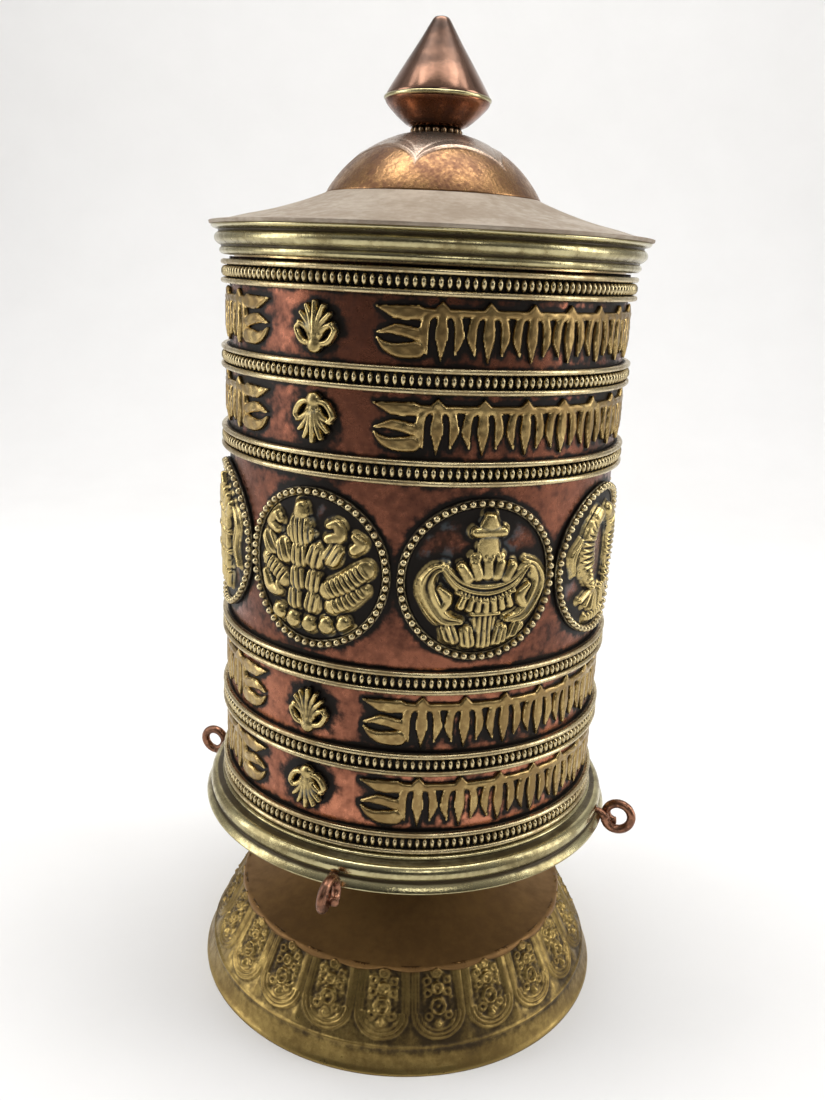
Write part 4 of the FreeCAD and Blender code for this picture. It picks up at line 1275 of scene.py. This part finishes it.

# %% [markdown]
# ## Shader kit
# All the metals age the same way, so one node group holds the recipe and each material gives it its own
# colours. Large soft noise sets where the skin has tarnished. Hollows, which the relief number marks,
# hold black grime, and their deepest places a blue-grey residue of dried polish. Beside applied pieces and
# at the foot of their walls the relief number is low as well, and there the same black is partly painted
# shade. Grime is matte and doesn't act like metal, so the group also gives roughness and metalness, and a
# height for the bump.

# %% A short language for nodes


class Net:
    """Adds nodes to one tree. Every method returns a socket, and takes sockets or plain values."""

    def __init__(self, tree):
        self.tree = tree

    def node(self, kind, **settings):
        """A new node with these properties set."""
        made = self.tree.nodes.new(kind)
        for key, value in settings.items():
            setattr(made, key, value)
        return made

    def feed(self, socket, value):
        """Links a socket to this one, or writes a plain value into it."""
        if isinstance(value, bpy.types.NodeSocket):
            self.tree.links.new(value, socket)
        else:
            socket.default_value = value

    def math(self, kind, a, b=0.0, clamp=False):
        """One operation on two numbers."""
        made = self.node("ShaderNodeMath", operation=kind, use_clamp=clamp)
        self.feed(made.inputs[0], a)
        self.feed(made.inputs[1], b)
        return made.outputs[0]

    def mix(self, factor, a, b):
        """Colour a where the factor is 0, colour b where it is 1."""
        made = self.node("ShaderNodeMix", data_type="RGBA")
        self.feed(made.inputs[0], factor)
        self.feed(made.inputs[6], a)
        self.feed(made.inputs[7], b)
        return made.outputs[2]

    def blend(self, factor, a, b):
        """Number a where the factor is 0, number b where it is 1."""
        made = self.node("ShaderNodeMix", data_type="FLOAT")
        self.feed(made.inputs[0], factor)
        self.feed(made.inputs[2], a)
        self.feed(made.inputs[3], b)
        return made.outputs[0]

    def step(self, value, low, high):
        """0 below low, 1 above high, a smooth step between."""
        made = self.node("ShaderNodeMapRange", interpolation_type="SMOOTHSTEP")
        self.feed(made.inputs["Value"], value)
        self.feed(made.inputs["From Min"], low)
        self.feed(made.inputs["From Max"], high)
        return made.outputs["Result"]

    def place(self, stretch=(1.0, 1.0, 1.0)):
        """Object coordinates in millimetres, stretched along the axes."""
        made = self.node("ShaderNodeVectorMath", operation="MULTIPLY")
        self.feed(made.inputs[0], self.node("ShaderNodeTexCoord").outputs["Object"])
        made.inputs[1].default_value = [1000 * s for s in stretch]
        return made.outputs[0]

    def noise(self, vector, scale, detail=6.0, rough=0.6):
        """Fractal noise, about 0.5 on average."""
        made = self.node("ShaderNodeTexNoise")
        self.feed(made.inputs["Vector"], vector)
        self.feed(made.inputs["Scale"], scale)
        made.inputs["Detail"].default_value = detail
        made.inputs["Roughness"].default_value = rough
        return made.outputs[0]

    def field(self, name):
        """A number stored on the mesh's points under this name."""
        return self.node("ShaderNodeAttribute", attribute_name=name).outputs["Fac"]


def new_group(name, inputs, outputs):
    """An empty group with the named sockets; inputs are (name, kind, value)."""
    tree = bpy.data.node_groups.new(name, "ShaderNodeTree")
    for key, kind, value in inputs:
        socket = tree.interface.new_socket(key, in_out="INPUT", socket_type=kind)
        socket.default_value = value
    for key, kind in outputs:
        tree.interface.new_socket(key, in_out="OUTPUT", socket_type=kind)
    net = Net(tree)
    return net, net.node("NodeGroupInput").outputs, net.node("NodeGroupOutput").inputs


COLOR, FLOAT = "NodeSocketColor", "NodeSocketFloat"

# %% Aged metal
net, given, result = new_group(
    "aged metal",
    [("Metal", COLOR, (0.6, 0.4, 0.2, 1)), ("Tarnish", COLOR, (0.25, 0.15, 0.08, 1)),
     ("Grime_and_shade", COLOR, (0.02, 0.014, 0.01, 1)), ("Relief", FLOAT, 0.7), ("Scale", FLOAT, 1.0),
     ("Spread", FLOAT, 0.5), ("Specks", FLOAT, 0.4), ("Residue", FLOAT, 0.0), ("Patchy", FLOAT, 0.6),
     ("Polished", FLOAT, 0.28), ("Dull", FLOAT, 0.55)],
    [("Color", COLOR), ("Roughness", FLOAT), ("Metallic", FLOAT), ("Height", FLOAT)],
)
spot = net.place()
broad = net.noise(spot, net.math("MULTIPLY", given["Scale"], 0.055), 7.0, 0.62)
medium = net.noise(spot, net.math("MULTIPLY", given["Scale"], 0.5), 5.0, 0.6)
fine = net.noise(spot, 3.2, 3.0, 0.55)
cloud = net.math("ADD", net.math("MULTIPLY", broad, 0.65), net.math("MULTIPLY", medium, 0.35))
edge = net.math("SUBTRACT", 0.66, net.math("MULTIPLY", given["Spread"], 0.3))
tarnish = net.step(cloud, net.math("SUBTRACT", edge, 0.13), net.math("ADD", edge, 0.12))
buried = net.math("SUBTRACT", 1.0, given["Relief"])
# Low relief marks hollows with black patina, and beside applied pieces and at the foot of their walls it
# also stands for painted shade, so this mask paints both.
dirt_and_shade = net.math("ADD", buried, net.math("MULTIPLY", net.math("SUBTRACT", cloud, 0.5), given["Patchy"]))
grime_and_shade = net.step(dirt_and_shade, 0.36, 0.72)
speck_edge = net.math("SUBTRACT", 0.74, net.math("MULTIPLY", given["Specks"], 0.12))
specks = net.math("MULTIPLY", net.step(fine, speck_edge, net.math("ADD", speck_edge, 0.05)), given["Specks"])
dried = net.math("MULTIPLY", net.step(net.noise(spot, 0.16, 4.0, 0.6), 0.52, 0.62), given["Residue"])
slope = net.math("SUBTRACT", net.step(buried, 0.3, 0.5), net.step(buried, 0.6, 0.8))
dried = net.math("MULTIPLY", dried, slope)
tarnish = net.math("MULTIPLY", tarnish, net.math("SUBTRACT", 1.0, net.step(given["Relief"], 0.8, 0.95)))
skin = net.mix(tarnish, given["Metal"], given["Tarnish"])
skin = net.mix(net.math("MULTIPLY", fine, 0.35), skin, given["Tarnish"])
skin = net.mix(grime_and_shade, skin, given["Grime_and_shade"])
skin = net.mix(specks, skin, given["Grime_and_shade"])
net.feed(result["Color"], net.mix(dried, skin, (0.20, 0.26, 0.29, 1)))
matte = net.math("MAXIMUM", net.math("MULTIPLY", tarnish, 0.75), net.math("MAXIMUM", grime_and_shade, dried))
uneven = net.math("MULTIPLY", net.math("SUBTRACT", medium, 0.5), 0.22)
sheen = net.blend(matte, given["Polished"], given["Dull"])
net.feed(result["Roughness"], net.math("ADD", sheen, uneven, True))
nonmetal_share = net.math("MULTIPLY", net.math("MAXIMUM", grime_and_shade, dried), 0.8)
net.feed(result["Metallic"], net.math("SUBTRACT", 1.0, nonmetal_share))
texture = net.math("ADD", net.math("MULTIPLY", medium, 0.7), net.math("MULTIPLY", fine, 0.3))
net.feed(result["Height"], texture)
AGED = net.tree


def metal(name, skin, tarnish, grime_and_shade, relief="relief", bump=0.35, dust=0.0, zone=None, **settings):
    """Principled metal fed by the aged group; zone, if given, is (field, skin, tarnish) that takes
    over where the field is 1."""
    material = bpy.data.materials.new(name)
    material.use_nodes = True
    net = Net(material.node_tree)
    shader = material.node_tree.nodes["Principled BSDF"]
    aged = net.node("ShaderNodeGroup", node_tree=AGED)
    first, second = (*skin, 1), (*tarnish, 1)
    if zone:
        field = net.field(zone[0])
        first, second = net.mix(field, first, (*zone[1], 1)), net.mix(field, second, (*zone[2], 1))
    for key, value in {"Metal": first, "Tarnish": second, "Grime_and_shade": (*grime_and_shade, 1), **settings}.items():
        net.feed(aged.inputs[key], value)
    if relief:
        net.feed(aged.inputs["Relief"], net.field(relief))
    bumped = net.node("ShaderNodeBump")
    bumped.inputs["Distance"].default_value = 0.0002
    bumped.inputs["Strength"].default_value = bump
    net.feed(bumped.inputs["Height"], aged.outputs["Height"])
    shader.inputs["Specular IOR Level"].default_value = 0.15
    net.feed(shader.inputs["Base Color"], aged.outputs["Color"])
    net.feed(shader.inputs["Roughness"], aged.outputs["Roughness"])
    net.feed(shader.inputs["Metallic"], net.math("MULTIPLY", aged.outputs["Metallic"], 1.0 - dust))
    net.feed(shader.inputs["Normal"], bumped.outputs["Normal"])
    return material


# These blacks paint grime in hollows, and beside applied pieces and on their walls also painted shade.
BLACK, SOOT_AND_SHADE = (0.012, 0.009, 0.007), (0.035, 0.02, 0.013)
copper = metal("copper sheet", (0.25, 0.092, 0.053), (0.085, 0.036, 0.025), BLACK, Scale=0.9, Spread=0.55,
               Specks=0.6, Patchy=2.4, Polished=0.25, Dull=0.46,
               zone=("zone", (0.56, 0.22, 0.125), (0.22, 0.085, 0.052)))
frieze_brass = metal("frieze brass", (0.54, 0.40, 0.17), (0.25, 0.165, 0.065), SOOT_AND_SHADE, Spread=0.75,
                     Specks=0.6, Residue=0.0, Polished=0.25, Dull=0.42, Scale=1.2)
relief_brass = metal("relief brass", (0.60, 0.465, 0.20), (0.27, 0.20, 0.085), BLACK, Spread=0.45,
                     Specks=0.4, Residue=0.2, Polished=0.24, Dull=0.5, Scale=2.0,
                     zone=("zone", (0.2, 0.075, 0.045), (0.05, 0.025, 0.018)))
bead_brass = metal("bead brass", (0.62, 0.52, 0.30), (0.30, 0.22, 0.11), BLACK, Spread=0.45, Specks=0.3,
                   Residue=0.0, Polished=0.2, Dull=0.5, Scale=1.5)
moulding_brass = metal("moulding brass", (0.56, 0.50, 0.28), (0.28, 0.23, 0.11), (0.05, 0.035, 0.015),
                       Spread=0.5, Specks=0.3, Polished=0.17, Dull=0.33, Scale=0.8)
skirt_brass = metal("skirt brass", (0.40, 0.285, 0.095), (0.19, 0.125, 0.042), (0.04, 0.025, 0.009),
                    Spread=0.6, Specks=0.6, Patchy=1.4, Polished=0.3, Dull=0.5,
                    zone=("zone", (0.20, 0.105, 0.035), (0.11, 0.055, 0.02)))
brown_sheet = metal("brown sheet", (0.30, 0.165, 0.055), (0.19, 0.10, 0.034), SOOT_AND_SHADE, relief=None,
                    Spread=0.5, Specks=0.2, Polished=0.4, Dull=0.55, Scale=0.6, bump=0.15, dust=0.55)
lid_sheet = metal("lid sheet", (0.45, 0.385, 0.31), (0.30, 0.24, 0.18), (0.10, 0.065, 0.045), relief=None,
                  Spread=0.55, Specks=0.5, Patchy=0.9, Polished=0.5, Dull=0.68, Scale=1.0, bump=0.25,
                  dust=0.6)
dome_sheet = metal("dome sheet", (0.45, 0.36, 0.29), (0.32, 0.23, 0.17), (0.09, 0.045, 0.025), Spread=0.5,
                   Specks=0.9, Scale=2.2, Polished=0.24, Dull=0.42, dust=0.2,
                   zone=("zone", (0.40, 0.22, 0.09), (0.13, 0.06, 0.032)))
finial_sheet = metal("finial copper", (0.27, 0.15, 0.10), (0.20, 0.105, 0.07), SOOT_AND_SHADE, Spread=0.35,
                     Specks=0.3, Polished=0.16, Dull=0.26, Scale=0.6, bump=0.1)
bowl_sheet = metal("bowl copper", (0.30, 0.115, 0.05), (0.14, 0.05, 0.028), SOOT_AND_SHADE, Spread=0.4, Specks=0.3,
                   Polished=0.18, Dull=0.36, Scale=1.2, bump=0.15)
wire_copper = metal("wire copper", (0.36, 0.17, 0.10), (0.14, 0.07, 0.045), SOOT_AND_SHADE, Spread=0.5, Specks=0.4,
                    Polished=0.24, Dull=0.5, Scale=2.5)
dark_beads = metal("dark beads", (0.24, 0.16, 0.09), (0.1, 0.06, 0.035), BLACK, Spread=0.5, Specks=0.3,
                   Polished=0.28, Dull=0.55, Scale=2.5)
bearing = metal("bearing brass", (0.7, 0.52, 0.26), (0.4, 0.28, 0.13), SOOT_AND_SHADE, relief=None, Spread=0.35,
                Specks=0.2, Polished=0.22, Dull=0.42, bump=0.15)
steel = metal("turned steel", (0.55, 0.55, 0.56), (0.33, 0.32, 0.31), (0.08, 0.05, 0.03), relief=None,
              Spread=0.35, Specks=0.25, Polished=0.2, Dull=0.42, bump=0.15)
print("metals:", len(bpy.data.materials))

# %% Wood, paper, card, cloth and ribbon


def matter(name, build, roughness):
    """A non-metal: build gets the net and returns a colour socket and a height socket."""
    material = bpy.data.materials.new(name)
    material.use_nodes = True
    net = Net(material.node_tree)
    shader = material.node_tree.nodes["Principled BSDF"]
    shader.inputs["Roughness"].default_value = roughness
    colour, height = build(net)
    bumped = net.node("ShaderNodeBump")
    bumped.inputs["Distance"].default_value = 0.0003
    bumped.inputs["Strength"].default_value = 0.5
    net.feed(bumped.inputs["Height"], height)
    net.feed(shader.inputs["Base Color"], colour)
    net.feed(shader.inputs["Normal"], bumped.outputs["Normal"])
    return material


def wood_look(net):
    """Grain: noise stretched along X, sharpened into dark lines."""
    grain = net.noise(net.place((0.12, 1.0, 1.0)), 0.55, 8.0, 0.6)
    return net.mix(net.step(grain, 0.4, 0.62), (0.14, 0.06, 0.025, 1), (0.36, 0.19, 0.085, 1)), grain


def paper_look(net):
    """Edges of rolled sheets: thin noise in plan, with soft yellow stains."""
    fibre = net.noise(net.place((1.0, 1.0, 0.15)), 1.9, 5.0, 0.7)
    stain = net.noise(net.place(), 0.05, 4.0, 0.5)
    light = net.mix(net.step(stain, 0.4, 0.65), (0.78, 0.69, 0.50, 1), (0.62, 0.50, 0.31, 1))
    return net.mix(net.math("MULTIPLY", net.step(fibre, 0.45, 0.6), 0.35), light, (0.4, 0.3, 0.18, 1)), fibre


def card_look(net):
    """Grey-brown board with a spiral seam's fibres."""
    fibre = net.noise(net.place((0.3, 0.3, 1.0)), 1.2, 6.0, 0.7)
    return net.mix(net.step(fibre, 0.35, 0.65), (0.30, 0.20, 0.12, 1), (0.46, 0.34, 0.21, 1)), fibre


def woven_look(light, dark, pitch):
    """Two sets of threads crossing: waves up the height against waves round the axis."""
    def build(net):
        """The cloth's colour and its height."""
        split = net.node("ShaderNodeSeparateXYZ")
        net.feed(split.inputs[0], net.place())
        turn = net.math("ARCTAN2", split.outputs[1], split.outputs[0])
        warp = net.math("SINE", net.math("MULTIPLY", turn, 2 * math.pi * 42 / pitch))
        weft = net.math("SINE", net.math("MULTIPLY", split.outputs[2], 2 * math.pi / pitch))
        height = net.math("ADD", net.math("MULTIPLY", warp, 0.25), net.math("MULTIPLY", weft, 0.25))
        soil = net.noise(net.place(), 0.12, 5.0, 0.6)
        shade = net.math("ADD", net.math("MULTIPLY", height, 0.6), soil, True)
        return net.mix(shade, (*dark, 1), (*light, 1)), height
    return build


wood = matter("block wood", wood_look, 0.5)
paper_matter = matter("rolled paper", paper_look, 0.85)
card = matter("card", card_look, 0.8)
cotton = matter("yellow cotton", woven_look((0.72, 0.42, 0.07), (0.42, 0.2, 0.03), 0.7), 0.85)
silk = matter("red ribbon", woven_look((0.42, 0.03, 0.025), (0.2, 0.01, 0.012), 0.5), 0.5)


def floor_look(net):
    """Painted board: almost even, with the faintest mottling."""
    mottle = net.noise(net.place(), 0.02, 5.0, 0.55)
    return net.mix(mottle, (0.81, 0.80, 0.785, 1), (0.86, 0.85, 0.835, 1)), mottle


sweep.data.materials.append(matter("studio sweep", floor_look, 0.75))

# %% [markdown]
# ## Putting the surfaces on the frame
# Each new piece rides on a body, so it moves with the joint, and stands for the engineering node it
# covers. Nodes whose plain shape is already right, such as the spindle and its nut, keep it and only get
# a better material.

# %% Dress every piece


def dress(piece, material, body, slot, *nodes):
    """Gives a piece its material, the body it rides on and the nodes it stands for; its slot is not used."""
    piece.data.materials.append(material)
    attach(piece, body)
    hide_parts(*nodes)


for k in range(1, 7):
    dress(strips[k - 1], bead_brass, "drum", "strip_brass", f"bead_strip_{k}")
for k in range(1, 5):
    dress(friezes[k - 1], frieze_brass, "drum", "frieze_brass", f"frieze_{k}")
    dress(buds[k - 1], relief_brass, "drum", "relief_brass", f"buds_{k}")
    dress(loops[k - 1], wire_copper, "drum", "loop_copper", f"turning_loop_{k}")
for k in range(1, 9):
    dress(medallions[k - 1], relief_brass, "drum", "relief_brass", f"medallion_{k}")
    dress(medallion_rings[k - 1], bead_brass, "drum", "strip_brass", f"medallion_ring_{k}")
dress(copper_shell, copper, "drum", "drum_copper", "drum_shell")
dress(rim, moulding_brass, "drum", "moulding_brass", "lower_rim")
dress(moulding, moulding_brass, "lid", "moulding_brass", "lid_moulding")
dress(lid_cone, lid_sheet, "lid", "lid_copper", "lid_cone")
dress(dome, dome_sheet, "lid", "dome_copper", "lid_dome")
dress(collar, dark_beads, "finial", "strip_brass", "finial_beads")
dress(bowl, bowl_sheet, "finial", "finial_copper", "finial_bowl")
dress(seam, moulding_brass, "finial", "moulding_brass", "finial_band")
dress(finial_cone, finial_sheet, "finial", "finial_copper", "finial_cone")
dress(skirt, skirt_brass, "stand", "base_brass", "base_skirt")
dress(neck, brown_sheet, "stand", "neck_brown", "base_neck")
dress(paper, paper_matter, "drum", "paper", "prayer_scroll")
dress(cloth, cotton, "drum", "cloth", "scroll_wrap")
dress(ties, silk, "drum", "ribbon", "scroll_ties")
dress(core, card, "drum", "card", "scroll_core")

KEPT = {
    "base_block": wood, "drum_floor": copper,
    "spindle": steel, "spindle_nut": steel, "spindle_washer": steel, "thrust_washer": steel,
    "neck_collar": bearing, "lower_bush": bearing, "lid_skirt": bearing, "lid_bush": bearing,
    "finial_nut": bearing,
}
for node, material in KEPT.items():
    for part_slot in bpy.data.objects[node].material_slots:
        part_slot.material = material
